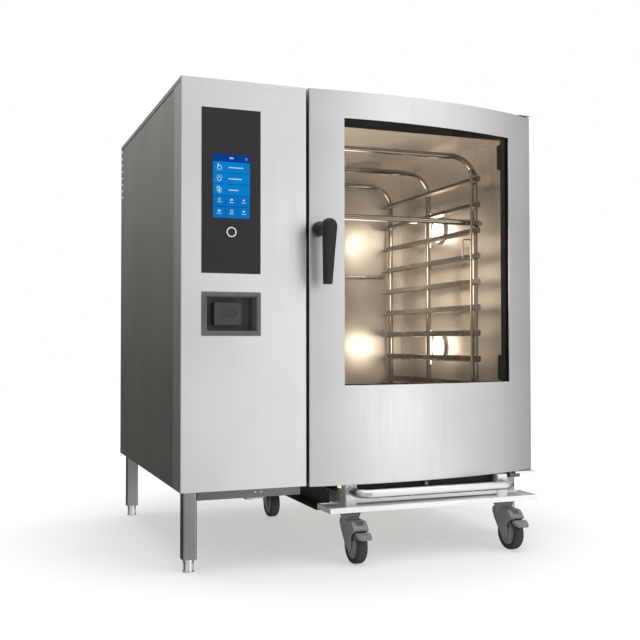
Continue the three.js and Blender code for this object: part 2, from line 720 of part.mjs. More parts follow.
function trolleyRack() {
  const { left, right, tube, top, foot, corner } = RACK;
  const parts = HOOPS.map((y) => {
    const corners = [[left, y, foot + 10], [left, y, top], [right, y, top], [right, y, foot + 10]];
    return bentRod(corners, tube, corner, { sides: 6, steps: 3 });
  });
  for (const x of [left, right]) {
    parts.push(block(x - tube, x + tube, NECK.front, 878, foot, foot + 20));
  }
  parts.push(block(left, right, NECK.front, NECK.front + 25, foot, foot + 20));
  parts.push(block(left, right, 858, 878, foot, foot + 20));
  for (let i = 0; i < SHELVES.count; i += 1) {
    const z = SHELVES.top - SHELVES.pitch * i;
    parts.push(shelfRail(-1, z), shelfRail(1, z));
  }
  const bar = [
    [left, HOOPS[0], PUSH_BAR.z], [left, PUSH_BAR.y, PUSH_BAR.z],
    [right, PUSH_BAR.y, PUSH_BAR.z], [right, HOOPS[0], PUSH_BAR.z],
  ];
  parts.push(bentRod(bar, 9, 24, { steps: 3 }));
  parts.push(trayStopLug(TRAY_STOP.bottom + 4), trayStopLug(TRAY_STOP.top - 9));
  return join(...parts);
}

// A slanting lug from the front hoop to the tray stop's rod, with a hole for the rod.
function trayStopLug(z) {
  const { x, y, rod: radius } = TRAY_STOP;
  const outline = [
    [x - 7, y - 7], [x + 6, y - 7], [RACK.right + 2, HOOPS[0] - 14], [RACK.right + 2, HOOPS[0]],
    [RACK.right - 8, HOOPS[0]], [x - 7, y + 7],
  ];
  return cut(prismZ(outline, z, z + 3), rod('z', [x, y, 0], radius + 0.6, z - 5, z + 8, 10));
}

// An upright rod in front of the trays that lifts out of its lugs by a wire loop.
function trayStop() {
  const { x, y, bottom, top, rod: radius, loop, loopBottom, loopTop } = TRAY_STOP;
  const corners = [[x, y, loopTop], [x - loop, y, loopTop], [x - loop, y, loopBottom], [x, y, loopBottom]];
  return join(
    rod('z', [x, y, 0], radius, bottom, top, 10),
    bentRod(corners, 2.2, 6, { sides: 6, steps: 2 }),
  );
}

// ---- casters ----
function casterFork(x, y) {
  const back = y - 28;
  const side = [
    [-51, 94], [-51, 98], [-42, 108], [-30, 117], [52, 118], [54, 104], [44, 84], [26, 62],
    [8, 42], [-8, 35], [-18, 36], [-24, 46], [-24, 58], [-22, 70], [-27, 81], [-40, 88],
  ].map(([dy, z]) => [dy + back, z]);
  const axleY = y - CASTER.trail;
  const slotHalf = CASTER.wheel / 2 + 1.3;
  const half = CASTER.fork / 2;
  const slot = rod('x', [0, axleY, CASTER.radius], CASTER.radius + 3, x - slotHalf, x + slotHalf, 24);
  const body = cut(prismX(side, x - half, x + half), slot);
  const head = rod('z', [x, y, 0], CASTER.head, 110, TROLLEY.plate - GAP, 20);
  const axle = rod('x', [0, axleY, CASTER.radius], 6, x - half, x + half, 12);
  return join(body, head, axle);
}

function casterWheel(x, y) {
  const half = CASTER.wheel / 2;
  const r = CASTER.radius;
  const profile = [
    [x - half, 6.4], [x - half, r - 5], [x - half + 5, r], [x + half - 5, r], [x + half, r - 5],
    [x + half, 6.4], [x - half, 6.4],
  ];
  return turned('x', [0, y - CASTER.trail, r], profile, 24);
}

function brakePedal(x, y) {
  const back = y - 28;
  const side = [
    [-53.5, 92], [-54.5, 80], [-70, 73], [-86, 70], [-88, 74], [-80, 80], [-64, 91],
  ].map(([dy, z]) => [dy + back, z]);
  return prismX(side, x - 20, x + 20);
}

// ---- assembly ----
const cabinet = new THREE.Group();

function add(name, geometry, material) {
  const mesh = new THREE.Mesh(geometry, material);
  mesh.name = name;
  cabinet.add(mesh);
}

add('base_frame', baseFrame(), steel());
add('control_fascia', controlFascia(), steel());
add('left_side_panel', leftSidePanel(), steel());
add('right_side_panel', rightSidePanel(), steel());
add('rear_panel', rearPanel(), steel());
add('top_panel', topPanel(), steel());
for (const [place, corner] of Object.entries(LEGS)) {
  add(`foot_${place}`, leveller(corner), bright());
}

add('cavity_liner', cavityLiner(), steel());
add('insulation_jacket', insulationJacket(), wool());
add('air_baffle', airBaffle(), steel());
for (const [place, z] of Object.entries(FANS.heights)) {
  add(`fan_wheel_${place}`, fanWheel(z), steel());
  add(`fan_motor_${place}`, fanMotor(z), castMetal());
  add(`heater_${place}`, heater(z), castMetal());
}
for (const [place, z] of Object.entries(LAMPS.heights)) {
  add(`lamp_${place}`, lamp(z), lampGlass());
}
add('steam_generator', steamGenerator(), steel());
add('drain_box', drainBox(), steel());
add('vent_tube', ventTube(), steel());
add('vent_flap', ventFlap(), steel());
add('door_gasket', doorGasket(), black());

add('touch_panel', touchPanel(), dark());
add('power_key', powerKey(), bright());
add('display_unit', displayUnit(), dark());
add('electronics_tray', electronicsTray(), castMetal());
add('shower_housing', showerHousing(), grey());
add('shower_head', showerHead(), black());
add('shower_hose', showerHose(), hoseBraid());
add('hose_reel', hoseReel(), dark());

add('door_outer_panel', doorOuterPanel(), steel());
add('door_outer_glass', doorOuterGlass(), glass());
add('window_tunnel', windowTunnel(), black());
add('door_liner', doorLiner(), steel());
add('door_inner_glass', doorInnerGlass(), glass());
add('door_handle', doorHandle(), dark());
add('latch_hook', latchHook(), bright());
add('latch_keeper', latchKeeper(), bright());
add('hinge_top', hingeTop(), bright());
add('hinge_bottom', hingeBottom(), bright());

add('trolley_base', trolleyBase(), steel());
add('trolley_neck', trolleyNeck(), steel());
add('trolley_rack', trolleyRack(), bright());
add('drip_tray', dripTray(), steel());
add('trolley_handle', trolleyHandle(), bright());
add('tray_stop', trayStop(), bright());

for (const [row, y] of [['front', CASTER.front], ['rear', CASTER.rear]]) {
  for (const [side, x] of [['left', CASTER.left], ['right', CASTER.right]]) {
    add(`caster_fork_${row}_${side}`, casterFork(x, y), grey());
    add(`caster_wheel_${row}_${side}`, casterWheel(x, y), dark());
    if (row === 'front') add(`brake_pedal_${row}_${side}`, brakePedal(x, y), dark());
  }
}

cabinet.position.set(-WIDTH / 2, (HANDLE_REACH - DEPTH) / 2, 0);

const group = new THREE.Group();
group.add(cabinet);
group.updateMatrixWorld(true);

export default group;
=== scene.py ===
"""Looks of a roll-in combi steamer oven with its rack trolley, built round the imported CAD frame.

+Z up, the oven's front towards -Y. Every place is worked out from the CAD nodes' boxes. Shapes are
described in millimetres, and build() turns them into metres; lights and camera are in metres.
"""
import math

import bmesh
import bpy
from mathutils import Matrix, Vector
from mathutils.geometry import tessellate_polygon


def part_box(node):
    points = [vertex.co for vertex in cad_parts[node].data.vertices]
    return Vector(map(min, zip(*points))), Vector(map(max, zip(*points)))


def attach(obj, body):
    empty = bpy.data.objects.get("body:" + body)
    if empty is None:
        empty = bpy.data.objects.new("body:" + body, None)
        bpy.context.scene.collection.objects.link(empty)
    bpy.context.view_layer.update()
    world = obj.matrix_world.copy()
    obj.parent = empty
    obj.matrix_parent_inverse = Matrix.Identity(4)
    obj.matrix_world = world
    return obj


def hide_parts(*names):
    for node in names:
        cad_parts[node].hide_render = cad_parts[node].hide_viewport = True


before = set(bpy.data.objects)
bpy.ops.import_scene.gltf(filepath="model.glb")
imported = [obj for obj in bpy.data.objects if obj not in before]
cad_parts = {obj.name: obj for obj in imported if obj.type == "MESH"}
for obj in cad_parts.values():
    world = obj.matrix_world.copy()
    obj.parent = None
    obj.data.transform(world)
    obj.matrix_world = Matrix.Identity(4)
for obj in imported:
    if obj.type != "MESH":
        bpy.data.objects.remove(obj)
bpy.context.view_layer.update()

MM = 0.001
FASCIA_SHEET = 1.5
CORNERS = ["front_left", "front_right", "rear_left", "rear_right"]


class Box:
    """The rest box of one CAD node, its middle and its size along X, Y and Z, in millimetres."""

    def __init__(self, node):
        low, high = (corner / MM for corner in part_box(node))
        self.x0, self.y0, self.z0 = low
        self.x1, self.y1, self.z1 = high
        self.cx, self.cy, self.cz = (low + high) / 2
        self.width, self.depth, self.height = high - low


# ---- materials ----
class Graph:
    """The shader nodes of one material or of the world."""

    def __init__(self, owner):
        owner.use_nodes = True
        self.tree = owner.node_tree
        self.tree.nodes.clear()

    def feed(self, socket, value):
        if isinstance(value, bpy.types.NodeSocket):
            self.tree.links.new(value, socket)
        else:
            socket.default_value = value

    def node(self, kind, **settings):
        """A new node; each setting is an input of it, with _ for a space, or an attribute."""
        made = self.tree.nodes.new("ShaderNode" + kind)
        for key, value in settings.items():
            name = key.replace("_", " ")
            if name in made.inputs:
                self.feed(made.inputs[name], value)
            else:
                setattr(made, key, value)
        return made

    def math(self, operation, a, b):
        made = self.node("Math", operation=operation)
        self.feed(made.inputs[0], a)
        self.feed(made.inputs[1], b)
        return made.outputs[0]

    def mix_shaders(self, share, first, second):
        made = self.node("MixShader", Fac=share)
        self.feed(made.inputs[1], first.outputs[0])
        self.feed(made.inputs[2], second.outputs[0])
        return made.outputs[0]

    def ramp(self, value, stops):
        """The value turned into a colour, or a grey, by (position, light) stops."""
        made = self.node("ValToRGB", Fac=value)
        elements = made.color_ramp.elements
        for index, (position, light) in enumerate(stops):
            stop = elements[index] if index < 2 else elements.new(position)
            stop.position = position
            stop.color = (*light, 1) if isinstance(light, tuple) else (light, light, light, 1)
        return made.outputs["Color"]

    def spread(self, value, low, high, start=0.3, end=0.7):
        """The value between start and end stretched over a range of plain numbers."""
        return self.node("MapRange", Value=value, From_Min=start, From_Max=end,
                         To_Min=low, To_Max=high).outputs["Result"]


class Finish(Graph):
    """One procedural material: a Principled shader and the nodes that feed it."""

    def __init__(self, name):
        self.material = bpy.data.materials.new(name)
        super().__init__(self.material)
        self.coords = self.node("TexCoord").outputs["Object"]
        self.shader = self.node("BsdfPrincipled")
        self.output = self.node("OutputMaterial", Surface=self.shader.outputs["BSDF"])

    def noise(self, scale, detail, stretch=(1, 1, 1)):
        place = self.node("Mapping", Vector=self.coords, Scale=stretch).outputs["Vector"]
        return self.node("TexNoise", Vector=place, Scale=scale, Detail=detail).outputs["Fac"]

    def tint(self, value, low, high):
        return self.ramp(value, [(0.3, low), (0.7, high)])

    def edge_wear_and_highlight(self, colour, edge_colour, amount):
        """The colour, going over to the lighter edge colour on sharp ridges: partly wear, partly a painted
        highlight along the edges.
        """
        ridge = self.spread(self.node("NewGeometry").outputs["Pointiness"], 0, amount, 0.52, 0.62)
        mix = self.node("Mix", data_type="RGBA", Factor=ridge, A=colour, B=(*edge_colour, 1))
        return mix.outputs["Result"]

    def bump(self, height, strength, distance):
        bumped = self.node("Bump", Height=height, Strength=strength, Distance=distance)
        self.set(Normal=bumped.outputs["Normal"])

    def set(self, **sockets):
        """Feeds the shader's inputs; the names are the inputs' own, with _ for a space."""
        for key, value in sockets.items():
            self.feed(self.shader.inputs[key.replace("_", " ")], value)


def brushed_metal(name, low, high, rough, grain=(1, 1, 0.012), metallic=1.0):
    """Ground sheet metal: fine lines along one axis, with a soft cloudiness over them."""
    g = Finish(name)
    lines = g.noise(900, 2.0, grain)
    streaks = g.noise(60, 2.0, tuple(max(k, 0.03) for k in grain))
    clouds = g.noise(4.0, 3.0)
    uneven = g.math("ADD", g.spread(streaks, rough - 0.03, rough + 0.03), g.spread(lines, -0.03, 0.03))
    g.set(Base_Color=g.tint(clouds, low, high), Metallic=metallic, Roughness=uneven)
    g.bump(lines, 0.12, 0.00012)
    return g.material


def polished_metal(name, low, high, rough, waves=6.0, depth=0.0006, metallic=1.0, smear=22, detail=4.0):
    """Bright-rolled metal whose faint waviness breaks the reflections up."""
    g = Finish(name)
    smears = g.noise(smear, detail, (1, 1, 0.35))
    g.set(Base_Color=g.tint(smears, low, high), Metallic=metallic,
          Roughness=g.spread(smears, rough * 0.7, rough * 1.4))
    g.bump(g.noise(waves, 2.0), 0.5, depth)
    return g.material


def moulded_plastic(name, low, high, rough, grain=700, depth=0.0001, edge=None, gloss=0.5):
    """Fine-textured plastic whose sharp edges can turn lighter, partly scuffing and partly painted highlight.
    """
    g = Finish(name)
    patches = g.noise(35, 4.0)
    colour = g.tint(patches, low, high)
    # The lighter edge colour is partly wear and partly a painted highlight.
    if edge:
        colour = g.edge_wear_and_highlight(colour, edge, 0.6)
    g.set(Base_Color=colour, Roughness=g.spread(patches, rough - 0.05, rough + 0.07),
          Specular_IOR_Level=gloss)
    g.bump(g.noise(grain, 2.0), 0.25, depth)
    return g.material


def thin_glass(name, tint, gloss):
    """A thin pane: mostly see-through, with a weak mirror image that grows at grazing angles."""
    g = Finish(name)
    clear = g.node("BsdfTransparent", Color=(*tint, 1))
    mirror = g.node("BsdfGlossy", Roughness=g.spread(g.noise(18, 5.0), 0.015, 0.06))
    share = g.math("MULTIPLY", g.node("Fresnel", IOR=1.3).outputs["Fac"], gloss)
    g.feed(g.output.inputs["Surface"], g.mix_shaders(share, clear, mirror))
    g.tree.nodes.remove(g.shader)
    return g.material


def lit(name, colour, strength):
    """A surface that gives light, with a slight unevenness."""
    g = Finish(name)
    g.set(Base_Color=(0, 0, 0, 1), Roughness=0.4, Specular_IOR_Level=0.03, Emission_Color=(*colour, 1),
          Emission_Strength=g.spread(g.noise(60, 2.0), strength * 0.85, strength))
    return g.material


def woolly(name):
    """Insulation felt with fibres along one axis."""
    g = Finish(name)
    fibres = g.noise(260, 6.0, (1, 1, 3))
    g.set(Base_Color=g.tint(fibres, (0.32, 0.25, 0.12), (0.6, 0.5, 0.3)), Roughness=0.95)
    g.bump(fibres, 0.8, 0.002)
    return g.material


def braided(name):
    """A hose's steel braid: slanting bands over grey."""
    g = Finish(name)
    wave = g.node("TexWave", Scale=260.0, Distortion=1.0, wave_type="BANDS",
                  bands_direction="DIAGONAL", Vector=g.coords).outputs["Fac"]
    g.set(Base_Color=g.tint(wave, (0.1, 0.1, 0.11), (0.3, 0.31, 0.32)), Roughness=0.45, Metallic=0.3)
    g.bump(wave, 0.6, 0.0006)
    return g.material


STEEL = brushed_metal("satin_steel", (0.62, 0.622, 0.63), (0.68, 0.682, 0.69), 0.36)
# A darker copy of the fascia's satin steel for the side, rear and roof sheets: painted shade.
SHADED_SIDE_STEEL = brushed_metal("side_steel_painted_shade", (0.40, 0.39, 0.37), (0.46, 0.45, 0.43), 0.34)
# A near-black copy of the steel: painted shade on the base beams under the oven; the hidden boxes and tubes
# share it.
SHADED_FRAME_STEEL = brushed_metal("frame_steel_painted_shade", (0.11, 0.107, 0.104), (0.17, 0.166, 0.162), 0.34, (0.02, 1, 1))
LEG_STEEL = brushed_metal("leg_steel", (0.20, 0.197, 0.192), (0.36, 0.355, 0.35), 0.27)
# A near-black copy of the steel: painted shade on the guide rails and their straps under the oven.
SHADED_RAIL_STEEL = brushed_metal("rail_steel_painted_shade", (0.10, 0.097, 0.094), (0.16, 0.155, 0.15), 0.36, (1, 0.012, 1))
# Nearly black steel: painted shade, for the plate that stands in for the shadow beneath the door.
SHADE_STEEL = brushed_metal("shade_steel", (0.018, 0.017, 0.016), (0.035, 0.034, 0.033), 0.4, (0.012, 1, 1))
# A paler, partly matte copy of the steel for the trolley: its extra brightness is a painted reflection of the
# bright surroundings.
TRAY_STEEL_PAINTED_REFLECTION = brushed_metal("tray_steel_painted_reflection", (0.78, 0.78, 0.79), (0.86, 0.86, 0.87), 0.3, (0.012, 1, 1), 0.6)
BRIGHT = polished_metal("bright_steel", (0.60, 0.60, 0.61), (0.70, 0.70, 0.71), 0.24, 3.0, 0.0002)
CHROME = polished_metal("chromed_steel", (0.66, 0.66, 0.67), (0.80, 0.80, 0.81), 0.12)
# The rack's steel in two copies: a dark brownish one that paints shade on the rails' faces, also used for the
# lugs, feet, neck and fan wheels, and a lighter one for the hoops and the stop rod.
SHADED_RACK_STEEL = polished_metal(
    "rack_steel_painted_shade", (0.13, 0.115, 0.10), (0.20, 0.18, 0.16), 0.26, 9.0, 0.0002, 1.0, 9, 1.0)
RACK_TUBE = polished_metal(
    "rack_tube", (0.36, 0.335, 0.305), (0.46, 0.43, 0.40), 0.13, 9.0, 0.0001, 1.0, 9, 1.0)
CAVITY_STEEL = polished_metal(
    "cavity_steel", (0.64, 0.605, 0.565), (0.72, 0.69, 0.65), 0.37, 3.5, 0.003, 0.84, 5, 1.0)
HEATER_STEEL = polished_metal("heater_steel", (0.09, 0.07, 0.06), (0.2, 0.15, 0.11), 0.4)
CAST = moulded_plastic("cast_metal", (0.20, 0.21, 0.22), (0.33, 0.34, 0.35), 0.5, 300, 0.0004)
BLACK_PLASTIC = moulded_plastic(
    "black_plastic", (0.009, 0.010, 0.011), (0.016, 0.017, 0.018), 0.33, edge=(0.04, 0.04, 0.042), gloss=0.25)
DARK_PLASTIC = moulded_plastic(
    "dark_plastic", (0.035, 0.036, 0.038), (0.055, 0.056, 0.06), 0.42, edge=(0.1, 0.1, 0.1))
GREY_PLASTIC = moulded_plastic(
    "grey_plastic", (0.165, 0.168, 0.171), (0.205, 0.208, 0.211), 0.34, edge=(0.3, 0.305, 0.31))
RUBBER = moulded_plastic("black_rubber", (0.010, 0.010, 0.010), (0.02, 0.02, 0.02), 0.62, 400)
TYRE = moulded_plastic("tyre_rubber", (0.016, 0.017, 0.019), (0.032, 0.033, 0.036), 0.52, 300, 0.0003)
ENAMEL = moulded_plastic("black_enamel", (0.004, 0.0035, 0.0035), (0.009, 0.008, 0.007), 0.6, 500, gloss=0.01)
GREY_DARK = moulded_plastic(
    "dark_grey_plastic", (0.068, 0.069, 0.07), (0.088, 0.089, 0.09), 0.4, edge=(0.24, 0.24, 0.24))
SHOWER_FACE = moulded_plastic(
    "spray_plastic", (0.036, 0.037, 0.038), (0.056, 0.057, 0.058), 0.4, edge=(0.12, 0.12, 0.12), gloss=0.4)
RECESS_PLASTIC = moulded_plastic("recess_plastic", (0.13, 0.131, 0.132), (0.16, 0.161, 0.162), 0.42)
PANEL_FOIL = moulded_plastic(
    "panel_foil", (0.014, 0.0145, 0.017), (0.018, 0.0185, 0.021), 0.4, 1200, gloss=0.27)
WOOL = woolly("mineral_wool")
HOSE = braided("braided_hose")
PANE = thin_glass("clear_pane", (0.985, 0.975, 0.955), 0.16)
LAMP_LENS = lit("lamp_lens", (1.0, 0.92, 0.80), 7.0)
SCREEN_DARK = lit("screen_header", (0.001, 0.052, 0.30), 1.0)
SCREEN_BACK = lit("screen_gaps", (0.001, 0.075, 0.33), 1.0)
SCREEN_TILE = lit("screen_tile", (0.001, 0.215, 0.62), 1.0)
SCREEN_TILE_LOW = lit("screen_tile_low", (0.001, 0.18, 0.55), 1.0)
SCREEN_MARK = lit("screen_mark", (0.74, 0.88, 1.0), 0.95)
PRINT_WHITE = moulded_plastic("white_print", (0.72, 0.72, 0.73), (0.8, 0.8, 0.81), 0.4)


# ---- mesh helpers ----
def placed(axis, along, u, v):
    """The point at `along` on the axis and (u, v) across it, in X, Y, Z order."""
    if axis == "x":
        return (along, u, v)
    if axis == "y":
        return (u, along, v)
    return (u, v, along)


class Shape:
    """Vertices and faces of one piece, gathered from simple solids."""

    def __init__(self):
        self.points = []
        self.faces = []
        self.slots = []

    def add(self, points, faces, slot=0):
        start = len(self.points)
        self.points += [tuple(p) for p in points]
        self.faces += [[start + i for i in face] for face in faces]
        self.slots += [slot] * len(faces)
        return self

    def loft(self, rings, slot=0, loop=False):
        """A skin over point rings: capped at both ends, or closed on itself."""
        n = len(rings[0])
        faces = []
        last = len(rings) if loop else len(rings) - 1
        for r in range(last):
            a, b = r * n, (r + 1) % len(rings) * n
            for i in range(n):
                j = (i + 1) % n
                faces.append([a + i, a + j, b + j, b + i])
        if not loop:
            faces.append(list(range(n - 1, -1, -1)))
            faces.append([(len(rings) - 1) * n + i for i in range(n)])
        return self.add([p for ring in rings for p in ring], faces, slot)

    def box(self, x0, x1, y0, y1, z0, z1, slot=0):
        outline = [(x0, y0), (x1, y0), (x1, y1), (x0, y1)]
        return self.prism("z", outline, z0, z1, slot)

    def prism(self, axis, outline, a, b, slot=0):
        rings = [[placed(axis, along, u, v) for u, v in outline] for along in (a, b)]
        return self.loft(rings, slot)

    def pierced(self, axis, outline, holes, a, b):
        """A prism with through holes."""
        loops = [outline] + holes
        flat = [p for loop in loops for p in loop]
        triangles = tessellate_polygon([[(u, v, 0) for u, v in loop] for loop in loops])
        points = [placed(axis, along, u, v) for along in (a, b) for u, v in flat]
        n = len(flat)
        faces = [list(t) for t in triangles] + [[i + n for i in reversed(t)] for t in triangles]
        start = 0
        for loop in loops:
            for i in range(len(loop)):
                j = (i + 1) % len(loop)
                faces.append([start + i, start + j, start + j + n, start + i + n])
            start += len(loop)
        return self.add(points, faces)

    def lathe(self, axis, centre, profile, segments, slot=0, loop=False, start=0):
        """A turned solid; the profile is (distance from the start along the axis, radius)."""
        rings = [[placed(axis, start + along, u, v) for u, v in disc(*centre, radius, segments)]
                 for along, radius in profile]
        return self.loft(rings, slot, loop)

    def tube(self, path, radius, sides=20):
        """Round bar along a path; its frame is carried along without twisting."""
        path = [Vector(p) for p in path]
        tangents = run_directions(path)
        side = tangents[0].orthogonal().normalized()
        rings = []
        for point, tangent in zip(path, tangents):
            side = (side - tangent * side.dot(tangent)).normalized()
            up = tangent.cross(side)
            rings.append([point + side * u + up * v for u, v in disc(0, 0, radius, sides)])
        return self.loft(rings)


def run_directions(path):
    """The direction of a path at each of its points."""
    directions = []
    for i, point in enumerate(path):
        ahead = (path[min(i + 1, len(path) - 1)] - point).normalized()
        behind = (point - path[max(i - 1, 0)]).normalized()
        directions.append((ahead + behind).normalized())
    return directions


def bent(corners, radius, steps=8):
    """A path through corners, with an arc of that radius at each inner corner."""
    points = [Vector(c) for c in corners]
    path = [points[0]]
    for before, corner, after in zip(points, points[1:], points[2:]):
        toward = (before - corner).normalized()
        away = (after - corner).normalized()
        half = toward.angle(away) / 2
        centre = corner + (toward + away).normalized() * radius / math.sin(half)
        start = corner + toward * radius / math.tan(half) - centre
        axis = away.cross(toward).normalized()
        turn = math.pi - 2 * half
        for k in range(steps + 1):
            path.append(centre + Matrix.Rotation(turn * k / steps, 3, axis) @ start)
    path.append(points[-1])
    return path


def filleted(corners, radius, steps=5, closed=True):
    """A flat outline with rounded corners; the radius is one value or one per corner."""
    count = len(corners)
    radii = radius if isinstance(radius, list) else [radius] * count
    outline = []
    for i in range(count):
        corner = Vector(corners[i])
        if radii[i] <= 0 or (not closed and i in (0, count - 1)):
            outline.append(tuple(corner))
            continue
        toward = Vector(corners[i - 1]) - corner
        away = Vector(corners[(i + 1) % count]) - corner
        reach = min(radii[i] / math.tan(toward.angle(away) / 2), toward.length * 0.49, away.length * 0.49)
        start = corner + toward.normalized() * reach
        end = corner + away.normalized() * reach
        for k in range(steps + 1):
            t = k / steps
            outline.append(tuple(start * (1 - t) ** 2 + corner * 2 * t * (1 - t) + end * t ** 2))
    return outline


def rounded_rect(u0, u1, v0, v1, radius, steps):
    return filleted([(u0, v0), (u1, v0), (u1, v1), (u0, v1)], radius, steps)


def front_outline(box, radius, steps=5, inset=0):
    """A box's front face, inset all round, as a rounded rectangle."""
    return rounded_rect(box.x0 + inset, box.x1 - inset, box.z0 + inset, box.z1 - inset, radius, steps)


def square(u, v, half, radius, steps=5):
    return rounded_rect(u - half, u + half, v - half, v + half, radius, steps)


def ellipse(u, v, a, b, count):
    turn = 2 * math.pi / count
    return [(u + a * math.cos(turn * i), v + b * math.sin(turn * i)) for i in range(count)]


def disc(u, v, radius, count=32):
    return ellipse(u, v, radius, radius, count)


def face_frame(box, profile, steps):
    """A frame round a box's front face, from (inset, depth, corner radius) steps round its section."""
    rings = [[(u, box.y0 + depth, v) for u, v in front_outline(box, radius, steps, inset)]
             for inset, depth, radius in profile]
    return Shape().loft(rings, loop=True)


def shell(path, levels, is_open, caps=False):
    """A sheet skin: an open outline run through (height, inset) levels, with cells left open."""
    places = [Vector(p) for p in path]
    points = []
    for z, inset in levels:
        for place, run in zip(places, run_directions(places)):
            points.append((place.x - run.y * inset, place.y + run.x * inset, z))
    n = len(path)
    last = len(levels) - 1
    faces = []
    for r in range(last):
        z = (levels[r][0] + levels[r + 1][0]) / 2
        for i in range(n - 1):
            middle = (places[i] + places[i + 1]) / 2
            if not is_open(middle.x, middle.y, z):
                a, b = r * n + i, (r + 1) * n + i
                faces.append([a, a + 1, b + 1, b])
    if caps:
        faces.append(list(range(n - 1, -1, -1)))
        faces.append([last * n + i for i in range(n)])
    return Shape().add(points, faces)


def build(name, shape, closed=True):
    """An object, in metres, from a shape in millimetres."""
    mesh = bpy.data.meshes.new(name)
    mesh.from_pydata([Vector(p) * MM for p in shape.points], [], shape.faces)
    mesh.polygons.foreach_set("material_index", shape.slots)
    edit = bmesh.new()
    edit.from_mesh(mesh)
    used = {v for face in edit.faces for v in face.verts}
    bmesh.ops.delete(edit, geom=[v for v in edit.verts if v not in used], context="VERTS")
    if closed:
        bmesh.ops.recalc_face_normals(edit, faces=edit.faces)
    edit.to_mesh(mesh)
    edit.free()
    made = bpy.data.objects.new(name, mesh)
    bpy.context.scene.collection.objects.link(made)
    return made


def bake(made):
    """Applies the object's modifiers to its mesh."""
    bpy.context.view_layer.update()
    graph = bpy.context.evaluated_depsgraph_get()
    mesh = bpy.data.meshes.new_from_object(made.evaluated_get(graph))
    made.modifiers.clear()
    made.data = mesh
    return made


def carve(made, *tools):
    """Cuts the tools' solids out of the object, for good."""
    for index, tool in enumerate(tools):
        cutter = build(f"cutter_{index}", tool)
        step = made.modifiers.new("cut", "BOOLEAN")
        step.operation = "DIFFERENCE"
        step.solver = "EXACT"
        step.object = cutter
        bake(made)
        bpy.data.objects.remove(cutter)
    return made


def melt(made, voxel, rounds):
    """One closed skin over joined solids, with its inner corners softened as in a moulding."""
    remesh = made.modifiers.new("skin", "REMESH")
    remesh.mode = "VOXEL"
    remesh.voxel_size = voxel * MM
    smooth = made.modifiers.new("soften", "SMOOTH")
    smooth.factor = 0.5
    smooth.iterations = rounds
    return bake(made)


def thicken(made, thickness):
    """Gives a skin its sheet thickness, on the inside."""
    sheet = made.modifiers.new("sheet", "SOLIDIFY")
    sheet.thickness = thickness * MM
    sheet.offset = -1
    sheet.use_even_offset = True


def keep_flats(made):
    """Keeps the shading of flat faces level up to their rounded edges."""
    made.modifiers.new("flow", "WEIGHTED_NORMAL").keep_sharp = True


def soften(made, bevel, segments):
    """Smooth shading with crisp corners, and small rounds on the edges."""
    angle = math.radians(30)
    made.data.polygons.foreach_set("use_smooth", [True] * len(made.data.polygons))
    if bevel:
        step = made.modifiers.new("edges", "BEVEL")
        step.width = bevel * MM
        step.segments = segments
        step.limit_method = "ANGLE"
        step.angle_limit = angle
        keep_flats(made)
    else:
        made.data.set_sharp_from_angle(angle=angle)


def piece(name, shape, body, materials, stands_for=(), bevel=0, thickness=0):
    """One visible piece: its mesh, finish, edge rounding and the CAD body that it rides on."""
    made = shape if isinstance(shape, bpy.types.Object) else build(name, shape, not thickness)
    made.name = name
    for material in materials if isinstance(materials, list) else [materials]:
        made.data.materials.append(material)
    if thickness:
        thicken(made, thickness)
    soften(made, bevel, 3)
    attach(made, body)
    if stands_for:
        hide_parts(*stands_for)
    return made


def carry(node, material, bevel):
    """Keeps a CAD node and gives it a finish: flat faces are merged again and edges rounded."""
    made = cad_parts[node]
    made.data.materials.clear()
    made.data.materials.append(material)
    made.data.polygons.foreach_set("material_index", [0] * len(made.data.polygons))
    weld = made.modifiers.new("weld", "WELD")
    weld.merge_threshold = 1e-6
    merge = made.modifiers.new("flats", "DECIMATE")
    merge.decimate_type = "DISSOLVE"
    merge.angle_limit = math.radians(0.5)
    soften(made, bevel, 2)


# ---- cabinet ----
def cabinet_skin():
    """The column's fascia: one bent sheet with openings for the touch panel and the hand shower."""
    fascia = Box("control_fascia")
    side = Box("left_side_panel")
    roof = Box("top_panel")
    panel = Box("touch_panel")
    shower = Box("shower_housing")
    fold = 2.5
    # The fold's returns stop below the roof cap, and the face itself runs up in front of it.
    corners = [(fascia.x0, side.y0 - 2), (fascia.x0, fascia.y0),
               (fascia.x1, fascia.y0), (fascia.x1, fascia.y1)]
    path = filleted(corners, fold, closed=False)
    front = [p for p in path if p[1] < fascia.y0 + fold * 1.01]
    holes = [(panel.x0, panel.x1, panel.z0, panel.z1),
             (shower.x0 + 12, shower.x1 - 10, shower.z0 + 11, shower.z1 - 11)]
    (x0, x1, z0, z1), (x2, x3, z2, z3) = holes
    levels = [(z, 0) for z in (fascia.z0, z2, z3, z0, z1, roof.z0 - 1)]

    def in_hole(x, y, z):
        on_face = y <= fascia.y0 + fold / 2
        return on_face and any(a < x < b and c < z < d for a, b, c, d in holes)

    skin = shell(with_stops(path, sorted({x0, x1, x2, x3}), fascia.y0), levels, in_hole)
    piece("fascia_sheet", skin, "cabinet", STEEL, ["control_fascia"], 0.3,
          FASCIA_SHEET)
    lip = front + [(front[-1][0], fascia.y0 + FASCIA_SHEET), (front[0][0], fascia.y0 + FASCIA_SHEET)]
    piece("fascia_top_edge", Shape().prism("z", lip, roof.z0 - 1, fascia.z1), "cabinet", STEEL,
          (), 0.4)


def with_stops(path, stops, y):
    """Adds points at fixed X values to the straight front run of an outline."""
    result = []
    for a, b in zip(path, path[1:]):
        result.append(a)
        flat = abs(a[1] - y) < 1e-6 and abs(b[1] - y) < 1e-6
        if flat:
            result += [(x, y) for x in stops if a[0] < x < b[0]]
    return result + [path[-1]]


# The louvres' height, and how far their lower edges lie below the sheet's top.
LOUVRE_HEIGHT = 12
LOUVRE_DROPS = range(170, 0, -23)


